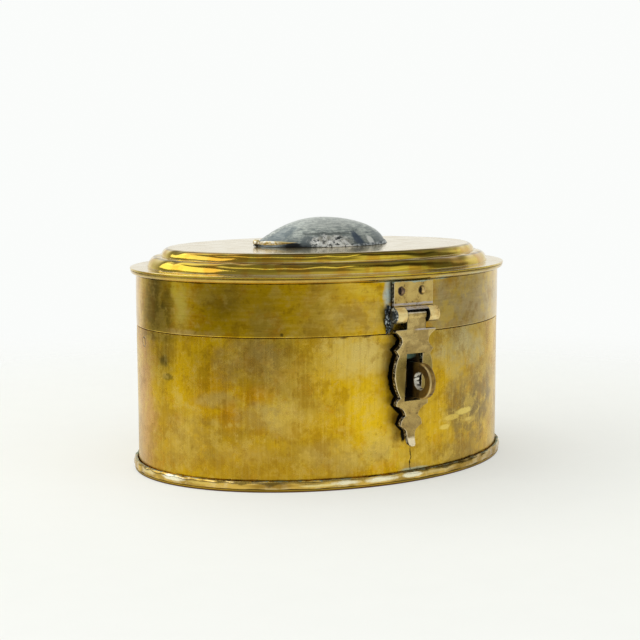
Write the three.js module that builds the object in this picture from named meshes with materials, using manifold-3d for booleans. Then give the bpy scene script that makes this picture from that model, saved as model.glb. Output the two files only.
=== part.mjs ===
// Oval sheet-brass box with a stepped hinged lid, a soldered boss and a hasp over a padlock staple.
// Millimetres, +Z up, front towards -Y. The origin is the centre of the base's underside.

import * as THREE from 'three';
import { mergeVertices } from 'three/addons/utils/BufferGeometryUtils.js';
import Module from 'manifold-3d';

// Oval of the wall's outer face, and the gap that neighbouring pieces keep
const HALF_LENGTH = 90;
const HALF_WIDTH = 67.7;
const OVAL_STEPS = 64;
const FIT_GAP = 0.3;
const SEAT_GAP = 0.15;

// Case
const SHEET = 1.1;
const FLOOR = 1.2;
const PLATE_REACH = 1.7;
const BASE_RIM_HEIGHT = 4.8;
const BASE_RIM_REACH = 2.1;
const SEAM_HEIGHT = 65.3;
const BEZEL_SHEET = 0.9;
const BEZEL_LOW = 59.5;
const BEZEL_HIGH = 69.2;

// Lid: rolled lip, flange and two rolled steps, as insets from the wall line
const LIP_START = 88;
const LIP_REACH = 2.4;
const FLANGE_TOP = 91;
const FLANGE_REACH = 2.6;
const TOP_SHEET = 0.85;
const TOP_SHEET_LEAN = 0.6;
const STEPS = [
  { foot: 5.2, crest: 10.4, low: 91, high: 95.8 },
  { foot: 11.4, crest: 15.4, low: 95.8, high: 99.5 },
];
const LID_TOP_HEIGHT = 99.5;

// Boss on the lid
const BOSS_HALF_LENGTH = 33.2;
const BOSS_HALF_WIDTH = 22;
const BOSS_SHIFT = -1;
const BOSS_HEIGHT = 12.5;
const BOSS_SHEET = 1.1;
const BOSS_STEPS = 40;
const SOLDER_REACH = 1.4;
const SOLDER_HEIGHT = 1.5;
const SOLDER_FROM = -1.9;
const SOLDER_TO = 3.4;

// Both hinges
const PIN_OFFSET = 3.8;
const KNUCKLE_RADIUS = 3.5;
const PIN_RADIUS = 1.2;
const PIN_CLEARANCE = 0.2;
const LEAF_SHEET = 1.8;
const ROUND_STEPS = 16;
const RIVET_STEPS = 12;
const RIVET_SHANK = 0.9;
const RIVET_HEAD = 1.5;
const RIVET_HEIGHT = 0.8;
const RIVET_HOLE = 1.2;

// Front hasp
const HASP_PIN_HEIGHT = 73.5;
const HASP_BARREL_HALF = 11.3;
const HASP_LEAF = { left: -9.4, right: 11.3, top: 87.7 };
const HASP_NOTCH_HALF = 5.6;
const HASP_BAR = 1;
const HASP_RIVETS = { across: 5.4, height: 83.6 };
const HASP_BACK = 2.9;
const HASP_SHEET = 2.4;
const TONGUE_HALF = 5.2;
const TONGUE_RADIUS = 2.2;
const SLOT = { half: 4.2, low: 36.7, high: 57 };
const HASP_TOP = 67.4;
const HASP_TIP = 17.2;
const CURL_START = 23;
const CURL = 2.2;
const HASP_LEAN = 0.055;

// Staple
const STAPLE_SHEET = 3.2;
const STAPLE_HEIGHT = 45.6;
const STAPLE_RADIUS = 7.6;
const STAPLE_REACH = 17.3;
const EYE_RADIUS = 3.65;
const EYE_OFFSET = 9.5;
const TANG = { width: 2.4, height: 8 };
const PEEN = { width: 4.6, height: 10.4, depth: 1.1 };
const WASHER = { halfWidth: 6, halfHeight: 8.5, sheet: 1 };

// Rear hinge
const REAR_HALF = 11;
const REAR_MIDDLE_HALF = 3.7;
const REAR_LEAF_LENGTH = 15;
const REAR_RIVETS = { across: 6.8, from_pin: 10 };

// Materials
const brass = new THREE.MeshStandardMaterial({ color: 0xb08a2e, roughness: 0.32, metalness: 1 });
const polishedBrass = new THREE.MeshStandardMaterial({ color: 0xd2b060, roughness: 0.18, metalness: 1 });
const dullBrass = new THREE.MeshStandardMaterial({ color: 0x8f7838, roughness: 0.45, metalness: 1 });
const tinned = new THREE.MeshStandardMaterial({ color: 0x7d817c, roughness: 0.5, metalness: 0.9 });
const solder = new THREE.MeshStandardMaterial({ color: 0xa9a79c, roughness: 0.4, metalness: 0.9 });

const wasm = await Module();
wasm.setup();

const box = new THREE.Group();
const caseGroup = new THREE.Group();
const lidGroup = new THREE.Group();
const haspGroup = new THREE.Group();
lidGroup.add(haspGroup);
box.add(caseGroup, lidGroup);

function place(name, geometry, material, group) {
  const mesh = new THREE.Mesh(geometry, material);
  mesh.name = name;
  group.add(mesh);
}

function solidOf(geometry) {
  const bare = geometry.clone();
  bare.deleteAttribute('normal');
  bare.deleteAttribute('uv');
  const merged = mergeVertices(bare, 1e-4);
  return new wasm.Manifold(new wasm.Mesh({
    numProp: 3,
    vertProperties: new Float32Array(merged.attributes.position.array),
    triVerts: new Uint32Array(merged.index.array),
  }));
}

function geometryOf(solid) {
  const mesh = solid.getMesh();
  const geometry = new THREE.BufferGeometry();
  geometry.setAttribute('position', new THREE.BufferAttribute(mesh.vertProperties, 3));
  geometry.setIndex(new THREE.BufferAttribute(mesh.triVerts, 1));
  return geometry;
}

function join(...geometries) {
  return geometryOf(geometries.map(solidOf).reduce((whole, next) => whole.add(next)));
}

function cut(geometry, ...tools) {
  return geometryOf(tools.map(solidOf).reduce((left, tool) => left.subtract(tool), solidOf(geometry)));
}

function block(low, high) {
  const size = new THREE.Vector3().subVectors(high, low);
  const middle = new THREE.Vector3().addVectors(low, high).multiplyScalar(0.5);
  return new THREE.BoxGeometry(size.x, size.y, size.z).translate(middle.x, middle.y, middle.z);
}

// A box given by its half width, its stand-off from the wall line at front or rear, and its heights.
function plateOnWall(side, fromX, toX, nearOffset, farOffset, low, high) {
  const near = side * (HALF_WIDTH + nearOffset);
  const far = side * (HALF_WIDTH + farOffset);
  return block(
    new THREE.Vector3(fromX, Math.min(near, far), low),
    new THREE.Vector3(toX, Math.max(near, far), high),
  );
}

function rodAlongX(radius, fromX, toX, y, z) {
  return new THREE.CylinderGeometry(radius, radius, toX - fromX, ROUND_STEPS)
    .rotateZ(Math.PI / 2)
    .translate((fromX + toX) / 2, y, z);
}

function rodAlongY(radius, fromY, toY, x, z) {
  return new THREE.CylinderGeometry(radius, radius, toY - fromY, ROUND_STEPS)
    .translate(x, (fromY + toY) / 2, z);
}

// Joins rings of points into a closed skin. Ends are closed by fans, or the last ring meets the first.
function skin(rings, fanned) {
  const around = rings[0].length;
  const points = rings.flat();
  const faces = [];
  const rows = fanned ? rings.length - 1 : rings.length;
  for (let row = 0; row < rows; row += 1) {
    const here = row * around;
    const next = ((row + 1) % rings.length) * around;
    for (let i = 0; i < around; i += 1) {
      const j = (i + 1) % around;
      faces.push(here + i, here + j, next + j, here + i, next + j, next + i);
    }
  }
  if (fanned) {
    const last = (rings.length - 1) * around;
    for (const [start, flip] of [[0, true], [last, false]]) {
      const centre = points.length;
      const sum = new THREE.Vector3();
      points.slice(start, start + around).forEach((point) => sum.add(point));
      points.push(sum.divideScalar(around));
      for (let i = 0; i < around; i += 1) {
        const j = (i + 1) % around;
        faces.push(centre, start + (flip ? j : i), start + (flip ? i : j));
      }
    }
  }
  const geometry = new THREE.BufferGeometry().setFromPoints(points);
  geometry.setIndex(faces);
  return geometry;
}

// One turn of the wall's oval, moved along its normal by an offset, at a height.
function ovalRing(offset, height) {
  return Array.from({ length: OVAL_STEPS }, (_, i) => {
    const turn = (2 * Math.PI * i) / OVAL_STEPS;
    const x = HALF_LENGTH * Math.cos(turn);
    const y = HALF_WIDTH * Math.sin(turn);
    const normal = new THREE.Vector2(x / HALF_LENGTH ** 2, y / HALF_WIDTH ** 2).normalize();
    return new THREE.Vector3(x + normal.x * offset, y + normal.y * offset, height);
  });
}

function ovalSkin(section, fanned) {
  return skin(section.map(([offset, height]) => ovalRing(offset, height)), fanned);
}

function curve(from, control, to, steps) {
  const points = new THREE.QuadraticBezierCurve(
    new THREE.Vector2(...from),
    new THREE.Vector2(...control),
    new THREE.Vector2(...to),
  ).getPoints(steps);
  return points.map((point) => [point.x, point.y]);
}

// Shanked rivet on the front or rear wall, its domed head on the leaf and its tail inside the sheet.
function rivet(side, x, z) {
  const head = LEAF_SHEET + FIT_GAP + SEAT_GAP;
  const tail = -SHEET - FIT_GAP;
  const outline = [
    new THREE.Vector2(0, tail - RIVET_HEIGHT),
    new THREE.Vector2(RIVET_HEAD * 0.8, tail - RIVET_HEIGHT * 0.7),
    new THREE.Vector2(RIVET_HEAD, tail),
    new THREE.Vector2(RIVET_SHANK, tail),
    new THREE.Vector2(RIVET_SHANK, head),
    new THREE.Vector2(RIVET_HEAD, head),
    new THREE.Vector2(RIVET_HEAD * 0.8, head + RIVET_HEIGHT * 0.7),
    new THREE.Vector2(0, head + RIVET_HEIGHT),
  ];
  const geometry = new THREE.LatheGeometry(outline, RIVET_STEPS);
  if (side < 0) {
    geometry.rotateZ(Math.PI);
  }
  return geometry.translate(x, side * HALF_WIDTH, z);
}

function rivetHole(side, x, z) {
  const reach = 6;
  const middle = side * HALF_WIDTH;
  return rodAlongY(RIVET_HOLE, middle - reach, middle + reach, x, z);
}

// Hinge pin with a peened head at each end.
function pin(half, y, z) {
  const headStart = half + SEAT_GAP;
  const headEnd = headStart + 0.9;
  const headRadius = PIN_RADIUS + 0.8;
  const outline = [
    new THREE.Vector2(0, -headEnd),
    new THREE.Vector2(headRadius * 0.8, -headEnd + 0.2),
    new THREE.Vector2(headRadius, -headStart),
    new THREE.Vector2(PIN_RADIUS, -headStart),
    new THREE.Vector2(PIN_RADIUS, headStart),
    new THREE.Vector2(headRadius, headStart),
    new THREE.Vector2(headRadius * 0.8, headEnd - 0.2),
    new THREE.Vector2(0, headEnd),
  ];
  return new THREE.LatheGeometry(outline, ROUND_STEPS).rotateZ(Math.PI / 2).translate(0, y, z);
}

// Base plate: flat oval floor that the wall and the rim stand on
function basePlate() {
  return ovalSkin([
    [PLATE_REACH - 0.7, 0],
    [PLATE_REACH, 0.5],
    [PLATE_REACH, FLOOR - 0.2],
    [PLATE_REACH - 0.3, FLOOR],
  ], true);
}

// Base rim: bellied strip bent round the foot of the wall
function baseRim() {
  const low = FLOOR + SEAT_GAP;
  const high = BASE_RIM_HEIGHT;
  return ovalSkin([
    [FIT_GAP, low],
    [BASE_RIM_REACH - 0.4, low],
    [BASE_RIM_REACH, low + 0.5],
    ...curve([BASE_RIM_REACH, 3], [BASE_RIM_REACH - 0.1, high - 0.3], [1.3, high], 3),
    [0.7, high],
    [FIT_GAP, high - 0.4],
  ], false);
}

// Plain wall, holed for the staple's tang and the rear rivets
function bodyWall() {
  const low = FLOOR + FIT_GAP;
  const high = SEAM_HEIGHT - FIT_GAP / 2;
  const wall = ovalSkin([[-SHEET, low], [0, low], [0, high], [-SHEET, high]], false);
  const tangHole = plateOnWall(
    -1,
    -TANG.width / 2 - FIT_GAP,
    TANG.width / 2 + FIT_GAP,
    -4,
    4,
    STAPLE_HEIGHT - TANG.height / 2 - FIT_GAP,
    STAPLE_HEIGHT + TANG.height / 2 + FIT_GAP,
  );
  const rivetHeight = SEAM_HEIGHT - REAR_RIVETS.from_pin;
  return cut(
    wall,
    tangHole,
    rivetHole(1, -REAR_RIVETS.across, rivetHeight),
    rivetHole(1, REAR_RIVETS.across, rivetHeight),
  );
}

// Thin strip inside the mouth that guides the lid, its upper edge drawn in
function mouthBezel() {
  const outer = -SHEET - FIT_GAP;
  const inner = outer - BEZEL_SHEET;
  return ovalSkin([
    [inner, BEZEL_LOW],
    [outer, BEZEL_LOW],
    [outer, BEZEL_HIGH - 1.2],
    [outer - 0.4, BEZEL_HIGH],
    [inner, BEZEL_HIGH],
  ], false);
}

// Lid band: plain oval band whose upper edge is rolled out as a lip
function lidBand() {
  const low = SEAM_HEIGHT + FIT_GAP / 2;
  const lipTop = FLANGE_TOP - TOP_SHEET - SEAT_GAP;
  const band = ovalSkin([
    [-SHEET, low],
    [0, low],
    ...curve([0, LIP_START], [LIP_REACH - 0.3, LIP_START + 0.1], [LIP_REACH, lipTop - 0.7], 3),
    [LIP_REACH, lipTop],
    ...curve([1.4, lipTop], [-0.7, lipTop - 0.2], [-SHEET, LIP_START], 2),
  ], false);
  const rearHeight = SEAM_HEIGHT + REAR_RIVETS.from_pin;
  return cut(
    band,
    rivetHole(-1, -HASP_RIVETS.across, HASP_RIVETS.height),
    rivetHole(-1, HASP_RIVETS.across, HASP_RIVETS.height),
    rivetHole(1, -REAR_RIVETS.across, rearHeight),
    rivetHole(1, REAR_RIVETS.across, rearHeight),
  );
}

// One step of the lid: a quarter ellipse, upright at its foot and level at its crest
function rolledStep({ foot, crest, low, high }, steps) {
  return Array.from({ length: steps + 1 }, (_, i) => {
    const angle = (Math.PI * i) / (2 * steps);
    return [(crest - foot) * Math.cos(angle) - crest, low + (high - low) * Math.sin(angle)];
  });
}

// Lid top: flange, two rolled steps and the flat top
function lidTop() {
  const upper = [[FLANGE_REACH, FLANGE_TOP - 0.25], [FLANGE_REACH - 0.3, FLANGE_TOP]];
  const lower = [[FLANGE_REACH, FLANGE_TOP - TOP_SHEET]];
  for (const step of STEPS) {
    upper.push(...rolledStep(step, 6));
    const under = rolledStep(step, 4);
    lower.push(...under.map(([offset, height]) => [offset - TOP_SHEET_LEAN, height - TOP_SHEET]));
  }
  return ovalSkin([...lower.reverse(), ...upper], true);
}

// Height of the boss: the power falls from 1 at the drawn-out end to a half at the blunt end.
function bossHeight(share, turn) {
  const power = 0.75 - 0.25 * Math.cos(turn);
  return BOSS_HEIGHT * Math.max(0, 1 - share ** 2) ** power;
}

function bossRing(share, inset, drop) {
  return Array.from({ length: BOSS_STEPS }, (_, i) => {
    const turn = (2 * Math.PI * i) / BOSS_STEPS;
    const height = LID_TOP_HEIGHT + SEAT_GAP + Math.max(0, bossHeight(share, turn) - drop);
    const x = BOSS_SHIFT + (BOSS_HALF_LENGTH - inset) * share * Math.cos(turn);
    return new THREE.Vector3(x, (BOSS_HALF_WIDTH - inset) * share * Math.sin(turn), height);
  });
}

// Hollow dome, open underneath: inner rings from the crown out, then outer rings back to the crown
function lidBoss() {
  const shares = [0.12, 0.35, 0.55, 0.72, 0.86, 0.95];
  const inner = shares.map((share) => bossRing(share, BOSS_SHEET, BOSS_SHEET));
  const outer = shares.map((share) => bossRing(share, 0, 0)).reverse();
  return skin([...inner, bossRing(1, BOSS_SHEET, BOSS_SHEET), bossRing(1, 0, 0), ...outer], true);
}

// Solder bead that follows the boss's edge, thinning out at both ends
function bossSolder() {
  const count = 30;
  const base = LID_TOP_HEIGHT + SEAT_GAP;
  const sections = Array.from({ length: count + 1 }, (_, i) => {
    const turn = SOLDER_FROM + ((SOLDER_TO - SOLDER_FROM) * i) / count;
    const swell = 0.35 + 0.65 * Math.sin((Math.PI * i) / count);
    const at = (out, up) => new THREE.Vector3(
      BOSS_SHIFT + (BOSS_HALF_LENGTH + FIT_GAP + out) * Math.cos(turn),
      (BOSS_HALF_WIDTH + FIT_GAP + out) * Math.sin(turn),
      base + up,
    );
    const reach = SOLDER_REACH * swell;
    const height = SOLDER_HEIGHT * swell;
    return [at(0, 0), at(0, height), at(reach * 0.5, height * 0.5), at(reach, 0)];
  });
  return skin(sections, true);
}

// Hasp leaf: flat plate, its lower edge rolled into a barrel with a notch for the tongue
function haspLeaf() {
  const pinY = -HALF_WIDTH - PIN_OFFSET;
  const far = FIT_GAP + LEAF_SHEET;
  const barrelTop = HASP_PIN_HEIGHT + KNUCKLE_RADIUS;
  const leaf = plateOnWall(
    -1,
    HASP_LEAF.left,
    HASP_LEAF.right,
    FIT_GAP,
    far,
    HASP_PIN_HEIGHT,
    HASP_LEAF.top,
  );
  const barrel = rodAlongX(KNUCKLE_RADIUS, -HASP_BARREL_HALF, HASP_BARREL_HALF, pinY, HASP_PIN_HEIGHT);
  const notch = plateOnWall(
    -1,
    -HASP_NOTCH_HALF,
    HASP_NOTCH_HALF,
    -1,
    PIN_OFFSET + KNUCKLE_RADIUS + 1,
    HASP_PIN_HEIGHT - KNUCKLE_RADIUS - 1,
    barrelTop - HASP_BAR,
  );
  const reach = HASP_BARREL_HALF + 1;
  return cut(
    join(leaf, barrel),
    notch,
    rodAlongX(PIN_RADIUS + PIN_CLEARANCE, -reach, reach, pinY, HASP_PIN_HEIGHT),
    rivetHole(-1, -HASP_RIVETS.across, HASP_RIVETS.height),
    rivetHole(-1, HASP_RIVETS.across, HASP_RIVETS.height),
  );
}

// Right half of the hasp's outline, from the shoulder down to the tip, as x and height
function haspHalfOutline() {
  const half = new THREE.Path();
  half.moveTo(10.4, HASP_TOP);
  half.lineTo(10.9, 66.6);
  half.quadraticCurveTo(3.6, 62.8, 9.8, 58.6);
  half.lineTo(8.2, 56.4);
  half.quadraticCurveTo(12.4, 47.6, 6.3, 38);
  half.quadraticCurveTo(8.9, 37, 8.3, 34.8);
  half.quadraticCurveTo(4, 33.6, 3.2, 30.2);
  half.quadraticCurveTo(5.8, 28.6, 5.6, 26);
  half.quadraticCurveTo(2.6, 24.6, 2.3, CURL_START);
  half.lineTo(1.7, HASP_TIP + 0.9);
  half.lineTo(0.9, HASP_TIP);
  return half.getPoints(5);
}

// Hasp: thick scalloped plate with a slot, a drilled tongue and a tip curled outwards. It hangs askew.
function haspPlate() {
  const right = haspHalfOutline();
  const left = right.map((point) => new THREE.Vector2(-point.x, point.y)).reverse();
  const outline = new THREE.Shape([...right, ...left].reverse());
  outline.holes.push(new THREE.Path([
    new THREE.Vector2(-SLOT.half, SLOT.low),
    new THREE.Vector2(-SLOT.half, SLOT.high),
    new THREE.Vector2(SLOT.half, SLOT.high),
    new THREE.Vector2(SLOT.half, SLOT.low),
  ]));
  const plate = new THREE.ExtrudeGeometry(outline, { depth: HASP_SHEET, bevelEnabled: false })
    .rotateX(Math.PI / 2)
    .translate(0, -HALF_WIDTH - HASP_BACK, 0);
  const position = plate.attributes.position;
  for (let i = 0; i < position.count; i += 1) {
    const height = position.getZ(i);
    const below = Math.max(0, CURL_START - height) / (CURL_START - HASP_TIP);
    position.setX(i, position.getX(i) - HASP_LEAN * (HASP_TOP - height));
    position.setY(i, position.getY(i) - CURL * below ** 2);
  }
  const pinY = -HALF_WIDTH - PIN_OFFSET;
  const strip = plateOnWall(
    -1,
    -TONGUE_HALF,
    TONGUE_HALF,
    HASP_BACK,
    HASP_BACK + HASP_SHEET,
    HASP_TOP - 1,
    HASP_PIN_HEIGHT,
  );
  const roll = rodAlongX(TONGUE_RADIUS, -TONGUE_HALF, TONGUE_HALF, pinY, HASP_PIN_HEIGHT);
  const boreRadius = PIN_RADIUS + PIN_CLEARANCE;
  const bore = rodAlongX(boreRadius, -HASP_NOTCH_HALF, HASP_NOTCH_HALF, pinY, HASP_PIN_HEIGHT);
  return cut(join(plate, strip, roll), bore);
}

// Staple: flat D with a padlock eye, a tang through the wall and a peened head inside
function staple() {
  const straight = STAPLE_REACH - STAPLE_RADIUS;
  const profile = new THREE.Shape();
  profile.moveTo(FIT_GAP, -STAPLE_RADIUS);
  profile.lineTo(straight, -STAPLE_RADIUS);
  profile.absarc(straight, 0, STAPLE_RADIUS, -Math.PI / 2, Math.PI / 2, false);
  profile.lineTo(FIT_GAP, STAPLE_RADIUS);
  const eye = new THREE.Path();
  eye.absarc(EYE_OFFSET, 0, EYE_RADIUS, 0, 2 * Math.PI, true);
  profile.holes.push(eye);
  const blade = new THREE.ExtrudeGeometry(profile, {
    depth: STAPLE_SHEET,
    bevelEnabled: false,
    curveSegments: 12,
  })
    .rotateX(Math.PI / 2)
    .rotateZ(-Math.PI / 2)
    .translate(STAPLE_SHEET / 2, -HALF_WIDTH, STAPLE_HEIGHT);
  const headStart = -SHEET - FIT_GAP - WASHER.sheet - SEAT_GAP;
  const tang = plateOnWall(
    -1,
    -TANG.width / 2,
    TANG.width / 2,
    headStart - 0.5,
    FIT_GAP + 1,
    STAPLE_HEIGHT - TANG.height / 2,
    STAPLE_HEIGHT + TANG.height / 2,
  );
  const peen = plateOnWall(
    -1,
    -PEEN.width / 2,
    PEEN.width / 2,
    headStart - PEEN.depth,
    headStart,
    STAPLE_HEIGHT - PEEN.height / 2,
    STAPLE_HEIGHT + PEEN.height / 2,
  );
  return join(blade, tang, peen);
}

// Oval washer inside the wall, under the peened tang
function stapleWasher() {
  const outline = new THREE.Shape();
  outline.absellipse(0, 0, WASHER.halfWidth, WASHER.halfHeight, 0, 2 * Math.PI, false, 0);
  const halfX = TANG.width / 2 + FIT_GAP;
  const halfZ = TANG.height / 2 + FIT_GAP;
  outline.holes.push(new THREE.Path([
    new THREE.Vector2(-halfX, -halfZ),
    new THREE.Vector2(-halfX, halfZ),
    new THREE.Vector2(halfX, halfZ),
    new THREE.Vector2(halfX, -halfZ),
  ]));
  return new THREE.ExtrudeGeometry(outline, { depth: WASHER.sheet, bevelEnabled: false, curveSegments: 12 })
    .rotateX(Math.PI / 2)
    .translate(0, -HALF_WIDTH + SHEET + FIT_GAP + WASHER.sheet, STAPLE_HEIGHT);
}

// Rear hinge leaf: up is 1 for the lid's leaf with the middle knuckle, -1 for the body's with the outer two
function rearLeaf(up) {
  const pinY = HALF_WIDTH + PIN_OFFSET;
  const end = SEAM_HEIGHT + up * REAR_LEAF_LENGTH;
  const leaf = plateOnWall(
    1,
    -REAR_HALF,
    REAR_HALF,
    FIT_GAP,
    FIT_GAP + LEAF_SHEET,
    Math.min(SEAM_HEIGHT, end),
    Math.max(SEAM_HEIGHT, end),
  );
  const barrel = rodAlongX(KNUCKLE_RADIUS, -REAR_HALF, REAR_HALF, pinY, SEAM_HEIGHT);
  const room = KNUCKLE_RADIUS + FIT_GAP;
  const middle = REAR_MIDDLE_HALF;
  const outside = REAR_HALF + 1;
  const others = up > 0
    ? [[-outside, -middle], [middle, outside]]
    : [[-middle - FIT_GAP, middle + FIT_GAP]];
  const clearances = others.map(([from, to]) => rodAlongX(room, from, to, pinY, SEAM_HEIGHT));
  const rivetHeight = SEAM_HEIGHT + up * REAR_RIVETS.from_pin;
  return cut(
    join(leaf, barrel),
    ...clearances,
    rodAlongX(PIN_RADIUS + PIN_CLEARANCE, -outside, outside, pinY, SEAM_HEIGHT),
    rivetHole(1, -REAR_RIVETS.across, rivetHeight),
    rivetHole(1, REAR_RIVETS.across, rivetHeight),
  );
}

// Case
place('base_plate', basePlate(), brass, caseGroup);
place('base_rim', baseRim(), brass, caseGroup);
place('body_wall', bodyWall(), brass, caseGroup);
place('mouth_bezel', mouthBezel(), dullBrass, caseGroup);
place('staple', staple(), dullBrass, caseGroup);
place('staple_washer', stapleWasher(), dullBrass, caseGroup);
place('rear_body_leaf', rearLeaf(-1), dullBrass, caseGroup);
place('rear_hinge_pin', pin(REAR_HALF, HALF_WIDTH + PIN_OFFSET, SEAM_HEIGHT), dullBrass, caseGroup);

// Lid
place('lid_band', lidBand(), brass, lidGroup);
place('lid_top', lidTop(), polishedBrass, lidGroup);
place('lid_boss', lidBoss(), tinned, lidGroup);
place('boss_solder', bossSolder(), solder, lidGroup);
place('rear_lid_leaf', rearLeaf(1), dullBrass, lidGroup);
place('hasp_leaf', haspLeaf(), dullBrass, lidGroup);
place('hasp_pin', pin(HASP_BARREL_HALF, -HALF_WIDTH - PIN_OFFSET, HASP_PIN_HEIGHT), dullBrass, lidGroup);

// Rivets of the three leaves
for (const [hand, sign] of [['left', -1], ['right', 1]]) {
  const rearX = sign * REAR_RIVETS.across;
  const low = SEAM_HEIGHT - REAR_RIVETS.from_pin;
  const high = SEAM_HEIGHT + REAR_RIVETS.from_pin;
  place(`rear_body_rivet_${hand}`, rivet(1, rearX, low), dullBrass, caseGroup);
  place(`rear_lid_rivet_${hand}`, rivet(1, rearX, high), dullBrass, lidGroup);
  place(
    `hasp_leaf_rivet_${hand}`,
    rivet(-1, sign * HASP_RIVETS.across, HASP_RIVETS.height),
    dullBrass,
    lidGroup,
  );
}

// Hasp
place('hasp_plate', haspPlate(), dullBrass, haspGroup);

export default box;
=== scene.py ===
import bpy
import numpy as np
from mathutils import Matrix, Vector


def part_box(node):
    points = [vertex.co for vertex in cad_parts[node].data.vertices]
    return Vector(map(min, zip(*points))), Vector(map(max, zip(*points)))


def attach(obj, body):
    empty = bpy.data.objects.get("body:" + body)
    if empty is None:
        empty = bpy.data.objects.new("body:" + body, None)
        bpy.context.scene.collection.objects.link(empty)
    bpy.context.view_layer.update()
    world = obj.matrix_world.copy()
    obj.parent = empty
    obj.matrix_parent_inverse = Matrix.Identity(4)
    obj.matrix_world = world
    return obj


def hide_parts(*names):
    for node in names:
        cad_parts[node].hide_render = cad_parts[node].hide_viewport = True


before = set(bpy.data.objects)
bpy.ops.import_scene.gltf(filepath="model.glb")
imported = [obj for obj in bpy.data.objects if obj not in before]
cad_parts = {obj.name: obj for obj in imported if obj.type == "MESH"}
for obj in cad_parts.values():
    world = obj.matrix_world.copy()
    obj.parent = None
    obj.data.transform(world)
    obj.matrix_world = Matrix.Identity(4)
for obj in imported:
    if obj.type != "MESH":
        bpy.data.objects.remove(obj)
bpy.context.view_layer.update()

# Base plate: the flat oval floor of the box, cut from sheet brass a little larger than the wall.
# The wall and the rim are soldered down on it, and its edge shows as a thin line under the rim.
MM = 0.001
HALF_LENGTH, HALF_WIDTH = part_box("body_wall")[1][:2]
PLATE_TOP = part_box("base_plate")[1].z
PLATE_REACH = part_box("base_plate")[1].x - HALF_LENGTH
turns = np.pi / 2 + np.linspace(0, 2 * np.pi, 720, endpoint=False)[:, None]


def round_oval(turn, offset, height):
    """The wall's oval, x = a cos t and y = b sin t, moved out along its normal by an offset, at a height.
    The turn runs down the rows, and the section of offsets and heights along the columns."""
    x, y = HALF_LENGTH * np.cos(turn), HALF_WIDTH * np.sin(turn)
    lean_x, lean_y = x / HALF_LENGTH**2, y / HALF_WIDTH**2
    stretch = offset / np.hypot(lean_x, lean_y)
    return np.stack(np.broadcast_arrays(x + lean_x * stretch, y + lean_y * stretch, height), -1)


def filled_oval(edge, widest, rings):
    """A whole plate from the section of its edge. Rings at the section's first and last heights draw in from
    the widest share of the edge to a fiftieth of it."""
    shares = np.linspace(0.02, widest, rings)[None, :, None] * (1, 1, 0) + (0, 0, 1)
    return np.concatenate([edge[:, :1] * shares, edge, edge[:, -1:] * shares[:, ::-1]], 1)


def bend(start, middle, end, steps):
    """Points of a quadratic curve from start to end, pulled to middle: shares (1-s)^2, 2s(1-s) and s^2."""
    s = np.linspace(0, 1, steps)[:, None]
    return (1 - s) ** 2 * np.array(start) + 2 * s * (1 - s) * np.array(middle) + s**2 * np.array(end)


def rounded(corner, before, after, steps):
    """A section's rounded corner: a bend from before it to after it, both given in millimetres from it."""
    corner, before, after = np.array(corner), np.array(before) * MM, np.array(after) * MM
    return bend(corner + before, corner, corner + after, steps)


def metal(name, *grids, ring=True, crease=35, chart=None):
    """Mesh object of one or more grids of points. Each grid closes round its rows, and its columns close on
    themselves too if ring is set, or else each end is shut by a fan to its mean point. A chart gives the
    distance along the wall at each row's start and end, and makes a map of it and the height, in metres."""
    points, faces, count = [], [], 0
    for grid in grids:
        index = count + np.arange(grid[..., 0].size).reshape(grid.shape[:2])
        if ring:
            index = np.concatenate([index, index[:, :1]], 1)
        after = np.roll(index, -1, 0)
        quads = np.stack([index[:, :-1], after[:, :-1], after[:, 1:], index[:, 1:]], -1)
        faces += quads.reshape(-1, 4).tolist()
        points.append(grid.reshape(-1, 3))
        count += grid[..., 0].size
        if not ring:
            points.append(np.stack([grid[:, 0].mean(0), grid[:, -1].mean(0)]))
            first, last = np.full(len(index), count), np.full(len(index), count + 1)
            faces += np.stack([after[:, 0], index[:, 0], first], -1).tolist()
            faces += np.stack([index[:, -1], after[:, -1], last], -1).tolist()
            count += 2
    mesh = bpy.data.meshes.new(name)
    mesh.from_pydata(np.concatenate(points).tolist(), [], faces)
    mesh.polygons.foreach_set("use_smooth", np.ones(len(faces), bool))
    mesh.set_sharp_from_angle(angle=np.radians(crease))
    if chart is not None:
        per_row = len(faces) // (len(chart) - 1)
        start, end = np.repeat(chart[:-1], per_row), np.repeat(chart[1:], per_row)
        along = np.stack([start, end, end, start], -1)
        up = np.concatenate(points)[np.array(faces), 2]
        mesh.uv_layers.new(name="chart").uv.foreach_set("vector", np.stack([along, up], -1).ravel())
    piece = bpy.data.objects.new(name, mesh)
    bpy.context.scene.collection.objects.link(piece)
    return piece


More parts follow.
